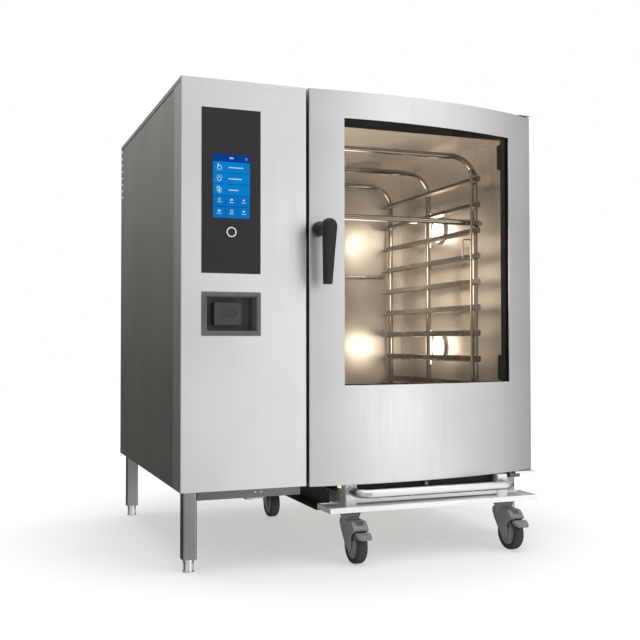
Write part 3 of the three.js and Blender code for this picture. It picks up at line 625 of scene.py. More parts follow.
def slotted_sheet(name, node, axis, slots):
    """A flat side or rear sheet with its louvre openings."""
    box = Box(node)
    sheet = build(name, Shape().box(box.x0, box.x1, box.y0, box.y1, box.z0, box.z1))
    centre = box.cx if axis == "x" else box.cy
    tool = Shape()
    for a, b in slots:
        for drop in LOUVRE_DROPS:
            z = box.z1 - drop
            tool.prism(axis, rounded_rect(a, b, z, z + LOUVRE_HEIGHT, 2, 3), centre - 5, centre + 5)
    carve(sheet, tool)
    # The sheet takes the darker copy of the steel, which paints shade on it.
    piece(name, sheet, "cabinet", SHADED_SIDE_STEEL, [node], 0.3)


def screw_heads(name, places, axis, face, sign, height, radius=3.6):
    """Low domed screw heads with a socket, on one face; sign is the side that they stand out on."""
    shape = Shape()
    dome = [(-0.8, 0.8), (0, 1), (height * 0.5, 0.95), (height, 0.6), (height, 0.42), (-0.3, 0.4)]
    profile = [(sign * out, radius * share) for out, share in dome]
    for place in places:
        shape.lathe(axis, place, profile, 20, start=face)
    piece(name, shape, "cabinet", CHROME)


def cabinet_sheets():
    left, right, rear = Box("left_side_panel"), Box("right_side_panel"), Box("rear_panel")
    edge = [(left.y1 - 31.5, left.y1 - 11.5)]
    slotted_sheet("left_sheet", "left_side_panel", "x", edge)
    slotted_sheet("right_sheet", "right_side_panel", "x", edge)
    columns = [(rear.x0 - 1, rear.x0 + 44), (rear.x0 + 68, rear.x0 + 148),
               (rear.x0 + 168, rear.x0 + 248), (rear.x1 - 44, rear.x1 + 1)]
    slotted_sheet("rear_sheet", "rear_panel", "y", columns)
    carry("top_panel", SHADED_SIDE_STEEL, 0.8)
    xs = [rear.x0 + 14, rear.cx, rear.x1 - 14]
    zs = [rear.z0 + 20, rear.cz, rear.z1 - 12]
    flush = 0.2
    screw_heads("rear_screws", [(x, z) for x in xs for z in zs], "y", rear.y1, 1, flush)
    low = left.z0 + 12
    ends = [(left.y1 - 38, low), (left.y1 - 60, low)]
    screw_heads("left_screws", ends, "x", left.x0, -1, flush, 4.5)
    spread = [(right.y0 + 30 + 380 * i, low) for i in range(3)]
    screw_heads("right_screws", spread, "x", right.x1, 1, flush)


def base():
    """Frame beams, square tube legs, the pan under the column and the rails that lead the trolley in."""
    node = Box("base_frame")
    x0, x1, y0, y1, top = node.x0, node.x1, node.y0, node.y1, node.z1
    low = top - 29.7
    leg = 38
    inner, column = x0 + 81, x0 + 326
    cross = y0 + 437
    flush = 1.2
    beams = Shape()
    beams.box(x0 + leg, x1, y1 - leg, y1, low, top)
    beams.box(x0 + 43, inner, y0 + 17, y1 - leg, top - 14, top)
    beams.box(x1 - leg, x1, y0 + 78, y1 - leg, low, top)
    beams.box(x0 + leg, column, y0 + flush, y0 + leg, low + 1, top)
    beams.box(column - leg, column, y0 + leg, y1 - leg, low, top)
    beams.box(inner, column - leg, cross, cross + leg, low, top)
    beams.box(inner, column - leg, y0 + leg, cross, top - 2, top)
    beams.box(inner, column - leg, cross + leg, y1 - leg, top - 2, top)
    # The beams take the near-black copy of the steel, which paints the shade under the oven.
    piece("frame_beams", beams, "cabinet", SHADED_FRAME_STEEL, ["base_frame"], 1.2)
    for place in CORNERS:
        leg_and_foot(place, leg, node.z0, top if "left" in place else low)
    for name, web_x, side in (("left", x0 + 429, -1), ("right", x0 + 995, 1)):
        guide_rail(name, web_x, side, y0, low)
    bolts = [(x0 + 128, top - 4), (x0 + 196, low + 16), (x0 + 213, low + 16)]
    screw_heads("beam_screws", bolts, "y", y0 + flush, -1, 1.1, 3)
    bracket = Shape().box(x0 + 172, x0 + 190, y0 + 2.4, y0 + 30, low - 4.5, low + 1.5)
    bracket.box(x0 + 190, x0 + 224, y0 + 2.4, y0 + 30, low - 2.5, low + 1.5)
    piece("beam_bracket", bracket, "cabinet", LEG_STEEL, (), 0.6)


def leg_and_foot(place, leg, bottom, top):
    """A square tube with rounded corners, its plastic plug, and the chromed levelling foot."""
    foot = Box(f"foot_{place}")
    x, y = foot.cx, foot.cy
    bore = leg / 2 - 2
    tube = Shape().pierced("z", square(x, y, leg / 2, 6, 6), [square(x, y, bore, 4.2, 6)], bottom, top)
    piece(f"leg_{place}", tube, "cabinet", LEG_STEEL, (), 0.3)
    plug = Shape().pierced("z", square(x, y, bore, 4, 6), [disc(x, y, 8.6)], bottom, bottom + 12)
    piece(f"leg_plug_{place}", plug, "cabinet", BLACK_PLASTIC)
    radius = foot.width / 2 * 0.87
    sides = [(0, 0.9), (1, 1), (4, 1), (4.6, 0.95), (25, 0.95), (25.6, 0.88), (27.2, 0.88), (27.8, 1),
             (33.2, 0.98)]
    stem = 8
    profile = [(up, radius * share) for up, share in sides] + [(33.5, stem), (foot.height, stem)]
    name = f"leveller_{place}"
    made = build(name, Shape().lathe("z", (x, y), profile, 40, start=foot.z0))
    grip = Shape()
    for i in range(6):
        turn = math.pi / 3 * (i + 0.25)
        groove = (x + radius * 1.02 * math.cos(turn), y + radius * 1.02 * math.sin(turn))
        grip.lathe("z", groove, [(6, 2.6), (23, 2.6)], 16, start=foot.z0)
    carve(made, grip)
    piece(name, made, name, CHROME, [f"foot_{place}"])


def guide_rail(name, web_x, side, y0, low):
    """An angle with a lead-in notch at its front end, hung from the frame by two straps."""
    start, end = y0 + 37, y0 + 837
    base_z = low - 52
    web = sorted((web_x, web_x + side * 3))
    flange = sorted((web_x, web_x + side * 42))
    outline = [(0, 0), (800, 0), (800, 53), (40, 53), (32, 44), (20, 44), (16, 50), (0, 46)]
    shape = Shape().prism("x", [(start + u, base_z + v) for u, v in outline], *web)
    shape.box(*flange, start, end, base_z, base_z + 2.8)
    # The rail takes the near-black copy of the steel, which paints the shade under the oven.
    piece(f"guide_rail_{name}", shape, "cabinet", SHADED_RAIL_STEEL, (), 0.5)
    node = Box("base_frame")
    strap = (node.x0 + 303, web_x) if side < 0 else (web_x, node.x1 - 20)
    straps = Shape()
    for y in (242, 742):
        straps.box(*strap, y0 + y, y0 + y + 30, low - 3, low)
    piece(f"guide_straps_{name}", straps, "cabinet", SHADED_RAIL_STEEL, (), 0.4)


# ---- control column ----
def touch_panel():
    panel = Box("touch_panel")
    key = Box("power_key")
    hole = disc(key.cx, key.cz, 15.5, 48)
    plate = Shape().pierced("y", front_outline(panel, 1.2, 3), [hole], panel.y0, panel.y1)
    piece("touch_plate", plate, "cabinet", PANEL_FOIL, ["touch_panel"], 0.25)
    piece("touch_picture", picture(panel.y0), "cabinet",
          [SCREEN_BACK, SCREEN_DARK, SCREEN_TILE, SCREEN_TILE_LOW, SCREEN_MARK])
    middle = (key.cx, key.cz)
    cap = [(0, 13.6), (0.3, 14.8), (5, 14.8), (5, 17.8), (key.depth, 17.8)]
    button = Shape().lathe("y", middle, cap, 64, start=key.y0)
    ring = [(-0.2, 10.6), (-0.2, 13.4), (0.1, 13.4), (0.1, 10.6)]
    button.lathe("y", middle, ring, 64, slot=1, loop=True, start=key.y0)
    piece("power_button", button, "key", [PANEL_FOIL, PRINT_WHITE], ["power_key"])
    carry("display_unit", BLACK_PLASTIC, 0.5)


# Thickness of one layer of the lit picture, and the material slots of its parts.
SKIN = 0.15
BACK, HEADER, TILE, TILE_LOW, MARK = range(5)


def picture(face):
    """The lit picture: thin skins on the panel's face, three wide tiles over six small ones."""
    screen = Box("display_unit")
    # The lit picture is 32 mm narrower than the hidden unit's board, and its lower edge is 6 mm higher.
    left, right = screen.x0 + 16, screen.x1 - 16
    bottom = screen.z0 + 6
    height = (right - left) * 1.677
    top = bottom + height
    header = height * 0.115
    unit = (height - header) / 5
    third = (right - left) / 3
    gap = 0.7
    near = face - 3 * SKIN
    shape = Shape().box(left, right, face - SKIN, face + 0.2, bottom, top, BACK)

    def tile(x0, x1, z0, z1, slot):
        shape.box(x0, x1, face - 2 * SKIN, face, z0, z1, slot)

    tile(left, right, top - header, top, HEADER)
    for i in range(3):
        z = top - header - unit * i
        tile(left, right, z - unit + gap, z - gap, TILE)
        add_tile_marks(shape, left, z - unit / 2, near, i)
    for i in range(6):
        z = top - header - unit * (3 + i // 3)
        x = left + third * (i % 3)
        tile(x + gap, x + third - gap, z - unit + gap, z - gap, TILE_LOW)
        add_small_icon(shape, x + third / 2, z - unit * 0.42, near, i)
    for i in range(3):
        z = top - header * (0.36 + 0.14 * i)
        shape.box(right - 13, right - 7, near, face, z - 0.5, z, MARK)
    for dx in (-5, -1.2, 2.6):
        x = (left + right) / 2 + dx
        shape.box(x, x + 2.4, near, face, top - header * 0.6, top - header * 0.38, MARK)
    return shape


def flat_mark(shape, x, z, y, half, low, high):
    shape.box(x - half, x + half, y, y + 0.3, z + low, z + high, MARK)


def ring_mark(shape, x, z, y, outer, inner):
    ring = [(0, outer), (0.3, outer), (0.3, inner), (0, inner)]
    shape.lathe("y", (x, z), ring, 28, MARK, loop=True, start=y)


def add_tile_marks(shape, left, z, y, kind):
    """A round icon and a plain bar, which stand in for an icon and its caption."""
    x = left + 17
    if kind == 0:
        ring_mark(shape, x, z - 1.5, y, 6.3, 5.1)
        flat_mark(shape, x - 3, z, y, 1.4, 1, 8.5)
    elif kind == 1:
        ring_mark(shape, x, z - 1.5, y, 5.6, 4.4)
        for i in range(5):
            ray = math.radians(30 + 30 * i)
            flat_mark(shape, x + 9 * math.cos(ray), z - 1.5 + 9 * math.sin(ray), y, 0.8, -0.8, 0.8)
    else:
        for dx, dz in ((-3, 2), (1.5, -1.5)):
            for shift, half, low, high in ((0, 3.4, 5, 6.2), (0, 3.4, -6.2, -5), (-2.8, 0.6, -5, 5),
                                           (2.8, 0.6, -5, 5)):
                flat_mark(shape, x + dx + shift, z + dz, y, half, low, high)
    length = (40, 36, 26)[kind]
    flat_mark(shape, left + 42 + length / 2, z, y, length / 2, -1.4, 0.8)


def add_small_icon(shape, x, z, y, kind):
    """Small plain marks over a short bar."""
    if kind in (0, 4):
        ring_mark(shape, x, z + 1.5, y, 3.6, 2.6)
    elif kind in (1, 3):
        for dx in (-2, 2):
            flat_mark(shape, x + dx, z, y, 1.5, -0.8, 3.8)
    else:
        shape.lathe("y", (x, z + 1.5), [(y, 2.6), (y + 0.3, 2.6)], 20, MARK)
    flat_mark(shape, x, z, y, 6, -6.2, -5)


def hand_shower():
    housing = Box("shower_housing")
    hose = Box("shower_hose")
    # Outer and inner edges of the rim slope, so it is lofted round.
    section = [(0, 3.6, 2.5), (1.2, 0.8, 2.38), (3.2, 0, 2.18), (10.2, 0, 1.5), (12.2, 1.4, 1.5),
               (13.4, 5, 1.5), (13.6, 8, 1.5), (13.6, 9.8, 1.5), (0.2, 3.7, 1.5)]
    rim = face_frame(housing, section, 4)
    piece("shower_frame", rim, "cabinet", GREY_DARK, ["shower_housing"])
    back = housing.y1
    x0, x1, z0, z1 = housing.x0 + 13, housing.x1 - 11, housing.z0 + 11.5, housing.z1 - 11.5
    wall = 2.5
    outer = rounded_rect(x0, x1, z0, z1, 3, 4)
    inner = rounded_rect(x0 + wall, x1 - wall, z0 + wall, z1 - wall, 2, 4)
    cup = Shape().pierced("y", outer, [inner], housing.y0 + 6, back - 3)
    cup.pierced("y", outer, [disc(hose.cx, hose.cz, 11)], back - 3, back)
    piece("shower_recess", cup, "cabinet", RECESS_PLASTIC, (), 0.3)
    shower_head(Box("shower_head"), hose.cx, hose.cz)
    radius = hose.width / 2
    pitch = 3
    braid = []
    for i in range(int(hose.depth / pitch)):
        braid += [(pitch * i, radius * 0.93), (pitch * (i + 0.5), radius)]
    braid.append((hose.depth, radius * 0.93))
    shape = Shape().lathe("y", (hose.cx, hose.cz), braid, 20, start=hose.y0)
    piece("shower_braid", shape, "hand_shower", HOSE, ["shower_hose"])
    carry("hose_reel", BLACK_PLASTIC, 0.5)
    carry("electronics_tray", CAST, 0.8)
    carry("steam_generator", SHADED_FRAME_STEEL, 0.0)


def shower_head(head, x, z):
    """A flat head with an oval rose of nozzles, and the neck that takes the hose."""
    face = head.y0
    body = Shape().prism("y", front_outline(head, 4, 4), face + 5, face + 32)
    body.prism("y", rounded_rect(x - 22, x + 22, z - 18, z + 18, 4, 4), face + 30, head.y1)
    piece("spray_body", body, "hand_shower", SHOWER_FACE, ["shower_head"], 1.2)
    rose = Shape()
    rose.pierced("y", ellipse(x, z, 27, 17, 56), [ellipse(x, z, 23, 13.5, 56)], face + 2.5, face + 6)
    for row in range(-2, 3):
        reach = 21 * math.sqrt(1 - (row / 3.2) ** 2)
        count = int(reach // 3.6)
        for column in range(-count, count + 1):
            rose.lathe("y", (x + column * 3.6, z + row * 3.9), [(3.4, 1), (6, 1.2)], 10, start=face)
    piece("spray_rose", rose, "hand_shower", DARK_PLASTIC, (), 0.4)


# ---- door ----
# The door's face is an arc; it stands out most at this distance from the door's left edge.
BOW_RADIUS = 1618
BOW_CENTRE = 208


def door_face(x):
    """The Y of the door's bowed face at X."""
    door = Box("door_outer_panel")
    across = x - door.x0 - BOW_CENTRE
    return door.y0 + BOW_RADIUS - math.sqrt(BOW_RADIUS ** 2 - across ** 2)


def bowed_run(x0, x1, depth, count=48, stops=()):
    xs = sorted({x0 + (x1 - x0) * i / count for i in range(count + 1)} | set(stops))
    return [(x, door_face(x) + depth) for x in xs]


def window():
    """The door's opening: left, right, bottom, top."""
    duct = Box("window_tunnel")
    edge = 5.7
    return duct.x0 + edge, duct.x1 - edge, duct.z0 + edge, duct.z1 - edge


def door_skin():
    door = Box("door_outer_panel")
    left, right, bottom, top = window()
    run = bowed_run(door.x0, door.x1, 0, 64, (left, right))
    corners = [(door.x0, door.y1)] + run + [(door.x1, door.y1)]
    radii = [0, 3] + [0] * (len(run) - 2) + [3, 0]
    path = filleted(corners, radii, 6, closed=False)
    roll = 2
    turns = [math.radians(a) for a in (0, 30, 60, 90)]
    low = [(door.z0 + roll * (1 - math.cos(a)), roll * (1 - math.sin(a))) for a in turns]
    high = [(door.z0 + door.z1 - z, inset) for z, inset in reversed(low)]
    levels = low + [(bottom, 0.0), (top, 0.0)] + high

    def in_window(x, y, z):
        return left < x < right and bottom < z < top

    skin = build("door_skin", shell(path, levels, in_window, caps=True))
    thicken(skin, 2)
    bake(skin)
    handle = Box("door_handle")
    pivot_z = handle.z1 - 21
    shaft = Shape().lathe("y", (handle.cx, pivot_z), [(-1000, 9), (door.y1 - 4, 9)], 32)
    pins = [Shape().lathe("z", (door.x1 - 16, door.y1 - 12), [(-9, 5.6), (9, 5.6)], 24, start=z)
            for z in (door.z1, door.z0)]
    carve(skin, shaft, *pins)
    piece("door_skin", skin, "door", STEEL, ["door_outer_panel"])
    keep_flats(skin)


def panes():
    outer = Box("door_outer_glass")
    near = 2.3
    run = bowed_run(outer.x0, outer.x1, near)
    back = [(x, y + 6) for x, y in reversed(run)]
    pane = Shape().prism("z", run + back, outer.z0, outer.z1)
    piece("outer_pane", pane, "door", PANE, ["door_outer_glass"], 0.8)
    inner = Box("door_inner_glass")
    pane = Shape().prism("y", front_outline(inner, 6), inner.y0, inner.y1)
    piece("inner_pane", pane, "door", PANE, ["door_inner_glass"], 0.8)


def tunnel():
    duct = Box("window_tunnel")
    wall = 4
    count = 24

    def loop(inset, depth=None):
        x0, x1 = duct.x0 + inset, duct.x1 - inset
        z0, z1 = duct.z0 + inset, duct.z1 - inset
        places = [(x0 + (x1 - x0) * i / count, z0) for i in range(count + 1)]
        places += [(x1 - (x1 - x0) * i / count, z1) for i in range(count + 1)]
        return [(x, duct.y1 if depth is None else door_face(x) + depth, z) for x, z in places]

    front = 10.3
    shape = Shape().loft([loop(0, front), loop(0), loop(wall), loop(wall, front)], 0, loop=True)
    piece("window_duct", shape, "door", ENAMEL, ["window_tunnel"])
    blocks = Shape()
    tall = 76
    x0, x1 = duct.x1 - 16, duct.x1 - 4
    for z in (duct.z0 + 9, duct.z1 - tall - 20):
        outline = filleted([(x0, z), (x1, z), (x1, z + tall), (x0, z + tall)], [4, 0.5, 0.5, 4])
        blocks.prism("y", outline, duct.y1 - 16, duct.y1)
    piece("pane_hinge_blocks", blocks, "door", ENAMEL, (), 1)


def squared(t):
    """Turns the cosine or sine of a circle into that of a rounded square."""
    return math.copysign(abs(t) ** 0.55, t)


def lever():
    handle = Box("door_handle")
    head = 21
    u, v, y0 = handle.cx, handle.z1 - head, handle.y0
    # The head is a low dome, and behind it the boss widens towards the door.
    dome = [(0.4, 6), (1.2, 12), (3.4, 17), (7, head * 0.96), (12, head), (23, head * 0.97), (28, head * 0.8)]
    shape = Shape().lathe("y", (u, v), dome, 56, start=y0)
    shape.lathe("y", (u, v), [(14, 14), (57, 15), (70, 17), (78, 20), (91.6, 20)], 48, start=y0)
    # The lever narrows below the head and comes nearer to the door at its tip.
    rings = []
    count = 14
    for i in range(count + 1):
        t = i / count
        half = 20.5 - 9 * min(0.5, t) - 7.4 * max(0, t - 0.5)
        depth = 21 - 2.5 * t
        front = y0 + 0.8 + 16.2 * t
        rings.append([(u + half * squared(c), front + depth / 2 * (1 + squared(d)), v - (v - handle.z0) * t)
                      for c, d in disc(0, 0, 1)])
    shape.loft(rings)
    made = melt(build("lever_handle", shape), 1.3, 5)
    piece("lever_handle", made, "handle", BLACK_PLASTIC, ["door_handle"])
    spindle = Shape().lathe("y", (u, v), [(y0 + 90, 7.9), (handle.y1, 7.9)], 24)
    piece("lever_spindle", spindle, "handle", CHROME, (), 0.4)
    carry("latch_hook", CHROME, 0.6)
    carry("latch_keeper", CHROME, 0.5)


def hinges():
    for node in ("hinge_top", "hinge_bottom"):
        carry(node, CHROME, 0.7)
    top = Box("hinge_top")
    cap = [(-1.2, 7), (-0.5, 7), (-0.05, 5.6)]
    shape = Shape().lathe("z", (top.x1 - 10, top.y0 + 22), cap, 32, start=top.z1)
    piece("hinge_pin_cap", shape, "cabinet", CHROME)


def door_back():
    carry("door_liner", STEEL, 0.5)
    section = [(0.5, 15.4), (3, 15.4), (5, 12.5), (4, 9), (1.5, 5.5), (2, 1.6), (5, 0.2), (8, 0.6),
               (10.4, 3), (11.4, 7), (10, 11), (11.8, 14.6), (11.8, 15.4), (9, 15.4)]
    seal = face_frame(Box("door_gasket"), [(inset, y, 12 - inset * 0.6) for inset, y in section], 5)
    piece("mouth_seal", seal, "cabinet", RUBBER, ["door_gasket"])


# ---- cooking cavity ----
def cavity():
    """The liner with its pressed beads and wash pipe, and what stands behind it."""
    carry("cavity_liner", CAVITY_STEEL, 1.0)
    carry("air_baffle", CAVITY_STEEL, 0.5)
    carry("insulation_jacket", WOOL, 0.0)
    liner = Box("cavity_liner")
    back, right = liner.y1 - 3.2, liner.x1 - 3.2
    pressed = Shape()
    for z in (liner.z0 + 130, liner.z0 + 545, liner.z0 + 872):
        outer, inner = (rounded_rect(liner.y0 + 480 + inset, liner.y0 + 720 - inset, z + inset,
                                     z + 95 - inset, 28 - inset, 8) for inset in (0, 4))
        pressed.pierced("x", outer, [inner], right - 2, right + 1)
    piece("wall_beads", pressed, "cabinet", CAVITY_STEEL, (), 0.8)
    z = liner.z0 + 634
    pipe = Shape().tube([(liner.x0 + 60, back - 12, z), (right - 118, back - 12, z)], 6)
    piece("wash_pipe", pipe, "cabinet", BRIGHT)
    for place in ("upper", "lower"):
        carry(f"fan_wheel_{place}", SHADED_RACK_STEEL, 0.5)
        carry(f"fan_motor_{place}", CAST, 1.0)
        carry(f"heater_{place}", HEATER_STEEL, 0.0)
        lamp(place)
    carry("drain_box", SHADED_FRAME_STEEL, 1.0)
    carry("vent_tube", SHADED_FRAME_STEEL, 0.0)
    carry("vent_flap", CHROME, 0.3)


def lamp(place):
    """A domed lens held by a steel ring on the right wall."""
    box = Box(f"lamp_{place}")
    middle = (box.cy, box.cz)
    radius = box.height / 2
    ring = [(0, 0.86), (0, 1), (-5, 1), (-8, 0.96), (-9.5, 0.88), (-8, 0.84)]
    ring = [(out, radius * share) for out, share in ring]
    shape = Shape().lathe("x", middle, ring, 64, loop=True, start=box.x1)
    piece(f"lamp_ring_{place}", shape, "cabinet", CAVITY_STEEL, [f"lamp_{place}"])
    lens = radius * 0.9
    angles = [math.radians(10 * i) for i in range(9)]
    dome = [(-1, lens)] + [(-6 - 11 * math.sin(a), lens * math.cos(a)) for a in angles]
    shape = Shape().lathe("x", middle, dome, 48, start=box.x1)
    piece(f"lamp_glass_{place}", shape, "cabinet", LAMP_LENS)


# ---- trolley ----
# How far each of the rack's three hoops stands in front of its rear end.
HOOP_SETBACKS = (642, 322, 12)
RAIL_LENGTH = 690
RAIL_DROP = 92
RAIL_PITCH = 81.4
RAIL_COUNT = 11


def rack():
    box = Box("trolley_rack")
    tube = 9
    left, right = box.x0 + tube, box.x1 - tube
    foot, top = box.z0, box.z1 - tube
    front, back = box.y1 - RAIL_LENGTH, box.y1
    hoops = Shape()
    for setback in HOOP_SETBACKS:
        y = back - setback
        corners = [(left, y, foot + 10), (left, y, top), (right, y, top), (right, y, foot + 10)]
        hoops.tube(bent(corners, 80, 14), tube, 24)
    z = box.z1 - 225
    y = back - HOOP_SETBACKS[0]
    hoops.tube(bent([(left, y, z), (left, front, z), (right, front, z), (right, y, z)], 24), tube, 24)
    piece("rack_hoops", hoops, "trolley", RACK_TUBE, ["trolley_rack"])
    rails = Shape()
    for k in range(RAIL_COUNT):
        z = box.z1 - RAIL_DROP - RAIL_PITCH * k
        for wall, inward in ((left + tube, 1), (right - tube, -1)):
            add_rail(rails, wall, inward, z, front, back)
    # The rails take the dark copy of the rack's steel, which paints shade on their faces.
    piece("rack_rails", rails, "trolley", SHADED_RACK_STEEL, (), 0.5)
    feet = Shape()
    front = Box("trolley_neck").y0
    for x in (left, right):
        feet.box(x - tube, x + tube, front, back - 2, foot, foot + 20)
    for y0, y1 in ((front, front + 25), (back - 22, back - 2)):
        feet.box(left + tube, right - tube, y0, y1, foot + 0.2, foot + 19.8)
    piece("rack_feet", feet, "trolley", SHADED_RACK_STEEL, (), 1.5)
    stop_lugs(y, right)


def add_rail(rails, wall, inward, z, y0, y1):
    """An angle rail: an upright web on the tubes and a lip that the tray slides on."""
    side = [(y0 + 4, z), (y1 - 4, z), (y1, z + 4), (y1, z + 15), (y1 - 4, z + 19),
            (y0 + 4, z + 19), (y0, z + 15), (y0, z + 4)]
    web, reach = wall + inward * 1.5, wall + inward * 30
    rails.prism("x", side, *sorted((wall - inward * 0.2, web)))
    lip = filleted([(web, y0), (reach, y0), (reach, y1), (web, y1)], [0, 9, 9, 0], 6)
    rails.prism("z", lip, z, z + 1.8)


def stop_lugs(hoop_y, right):
    """The wire tray stop, and the two slanting lugs that hold it on the rack's front hoop."""
    stop = Box("tray_stop")
    rod = 4
    u, v = stop.x1 - rod, stop.cy
    outline = filleted([(u - 7, v - 7), (u + 6, v - 7), (right + 2, hoop_y - 14), (right + 2, hoop_y),
                        (right - 8, hoop_y), (u - 7, v + 7)], [5, 5, 2, 0, 0, 5], 4)
    lugs = Shape()
    for z in (stop.z0 + 4, stop.z1 - 9):
        lugs.pierced("z", outline, [disc(u, v, rod + 0.5, 24)], z, z + 3)
    piece("stop_lugs", lugs, "trolley", SHADED_RACK_STEEL, (), 0.4)
    ends = [(stop.z0, rod * 0.7), (stop.z0 + 1.5, rod), (stop.z1 - 1.5, rod), (stop.z1, rod * 0.7)]
    gate = Shape().lathe("z", (u, v), ends, 20)
    wire = 2.2
    tip = stop.x0 + wire
    top, low = stop.z0 + 638, stop.z0 + 577
    gate.tube(bent([(u, v, top), (tip, v, top), (tip, v, low), (u, v, low)], 7, 6), wire, 14)
    piece("stop_rod", gate, "tray_gate", RACK_TUBE, ["tray_stop"])


def pull_run():
    """The pull handle's tube radius and the X of its two arms, which are those of the posts too."""
    handle = Box("trolley_handle")
    radius = handle.height / 2
    return radius, handle.x0 + radius, handle.x1 - radius


def trolley():
    """The trolley's frame, drip tray and bent pull handle."""
    trolley_frame()
    carry("trolley_neck", SHADED_RACK_STEEL, 0.8)
    carry("drip_tray", TRAY_STEEL_PAINTED_REFLECTION, 0.5)
    handle = Box("trolley_handle")
    radius, left, right = pull_run()
    z, front, back = handle.cz, handle.y0 + radius, handle.y1
    corners = [(left, back, z), (left, front, z), (right, front, z), (right, back, z)]
    pull = Shape().tube(bent(corners, 34, 14), radius, 36)
    piece("pull_tube", pull, "trolley", BRIGHT, ["trolley_handle"])
    ring = [(-3, radius + 0.2), (-3, radius + 3), (-0.4, radius + 4), (0, radius + 4), (0, radius + 0.2)]
    collars = Shape()
    for x in (left, right):
        collars.lathe("y", (x, z), ring, 36, loop=True, start=back)
    piece("pull_collars", collars, "trolley", CHROME, (), 0.4)


def trolley_frame():
    """Posts, low side rails, plates over the casters and the cross plate, with a near-black plate behind it
    that paints the shade beneath the door.
    """
    node = Box("trolley_base")
    post = 35
    left, right = pull_run()[1:]
    inner_left, inner_right = left + post / 2, right - post / 2
    front = Box("drip_tray").y1 - 51
    back = front + post
    low = node.z0 + 11
    beams = Shape()
    for x in (left, right):
        a, b = x - post / 2, x + post / 2
        beams.prism("z", rounded_rect(a, b, front, back, 4, 4), node.z0 + 4, node.z1)
        beams.box(a, b, back, node.y1 - post, low, low + post)
    beams.box(left - post / 2, right + post / 2, node.y1 - post, node.y1, low, low + post)
    piece("trolley_posts", beams, "trolley", TRAY_STEEL_PAINTED_REFLECTION, ["trolley_base"], 1.2)
    plates = Shape()
    for place in CORNERS:
        x, y = Box(f"caster_fork_{place}").cx, Box(f"caster_wheel_{place}").cy + CASTER_TRAIL
        plates.prism("z", square(x, y, 26, 4), node.z0, node.z0 + 4 if "front" in place else low)
    piece("caster_plates", plates, "trolley", LEG_STEEL, (), 0.6)
    bright = Shape().box(inner_left, inner_right, front + 4, front + 7, low + 11, low + 39)
    piece("cross_plate", bright, "trolley", TRAY_STEEL_PAINTED_REFLECTION, (), 0.6)
    # A near-black plate behind the cross plate: painted shade where the gap beneath the door lies in shadow.
    dark = Shape().box(inner_left, inner_right, back - 8, back - 5, low + post, node.z1 - 0.7)
    piece("painted_shade_plate", dark, "trolley", SHADE_STEEL, (), 0.5)
    stud = [(-8, 6), (-22, 6), (-23.5, 4.5)]
    spot = ((left + right) / 2 - 2, Box("trolley_handle").cz + 8)
    piece("plate_stud", Shape().lathe("y", spot, stud, 32, start=back), "trolley", CHROME)


# ---- casters ----
# How far a caster's swivel axis lies behind its axle at rest.
CASTER_TRAIL = 40


def fork(place):
    """A moulded caster housing: a round swivel cap, a sloping nose and two curved arms."""
    node = Box(f"caster_fork_{place}")
    wheel_box = Box(f"caster_wheel_{place}")
    x, half, slot_half = node.cx, 22, 17.4
    axle = (wheel_box.cy, wheel_box.cz)
    swivel_y = wheel_box.cy + CASTER_TRAIL
    back = swivel_y - 28
    outline = [(-50.5, 94), (-50.5, 98), (-42, 108), (-30, 117), (52, 117), (54, 104), (44, 84), (26, 62),
               (9, 42), (-8, 35.5), (-19, 36.5), (-24, 46), (-24, 58), (-22, 70), (-27, 81), (-40, 88)]
    side = filleted([(back + dy, z) for dy, z in outline], 6, 4)
    made = build(f"fork_{place}", Shape().prism("x", side, x - half, x + half))
    carve(made, Shape().lathe("x", axle, [(x - slot_half, 53), (x + slot_half, 53)], 64))
    top = node.z1
    cap = [(106, 24), (top - 10, 26), (top - 8.5, 28.6), (top - 1.5, 28.6), (top, 27.4)]
    extra = Shape().lathe("z", (x, swivel_y), cap, 48)
    for sign in (-1, 1):
        extra.lathe("x", axle, [(sign * (half - 0.3), 9), (sign * slot_half, 11.5)], 32, start=x)
    extra.lathe("x", axle, [(x - half, 5.8), (x + half, 5.8)], 24)
    body = melt(join_objects(made, build("cap", extra)), 1.2, 3)
    piece(f"caster_housing_{place}", body, f"swivel_{place}", GREY_PLASTIC,
          [f"caster_fork_{place}"])
    slope = Matrix.Rotation(math.radians(39), 3, "X")
    middle = Vector((x, back - 37, 111.4))
    button = Shape().loft([[middle + slope @ Vector((u * grow, w * grow, lift))
                            for u, w in rounded_rect(-11, 11, -7.5, 7.5, 2, 4)]
                           for lift, grow in ((-4, 1), (0.2, 1), (0.8, 0.88))])
    piece(f"caster_inset_{place}", button, f"swivel_{place}", DARK_PLASTIC)


def join_objects(a, b):
    """One object out of two, which keeps the first one's name."""
    shape = Shape()
    name = a.name
    for made in (a, b):
        mesh = made.data
        shape.add([v.co / MM for v in mesh.vertices], [list(p.vertices) for p in mesh.polygons])
        bpy.data.objects.remove(made)
    return build(name, shape)


def wheel(place):
    """A tyre and its hub, each the same on both sides."""
    box = Box(f"caster_wheel_{place}")
    r = box.height / 2
    width = box.width
    tread = [(2.5, 0.7), (0.6, 0.8), (0, 0.87), (1.6, 0.93), (5, 0.978), (9.5, 0.997)]
    hub = [(3.2, 0.7), (2.6, 0.66), (4.6, 0.6), (5.6, 0.4), (3.4, 0.32), (1.2, 0.27), (1.2, 0.13)]
    shape = Shape()
    for slot, half, middle, count in ((0, tread, [(width / 2, r)], 72), (1, hub, [], 64)):
        near = [(along, r * share) for along, share in half]
        far = [(width - along, radius) for along, radius in reversed(near)]
        shape.lathe("x", (box.cy, box.cz), near + middle + far, count, slot, True, box.x0)
    piece(f"caster_tyre_{place}", shape, f"roller_{place}", [TYRE, GREY_PLASTIC],
          [f"caster_wheel_{place}"])


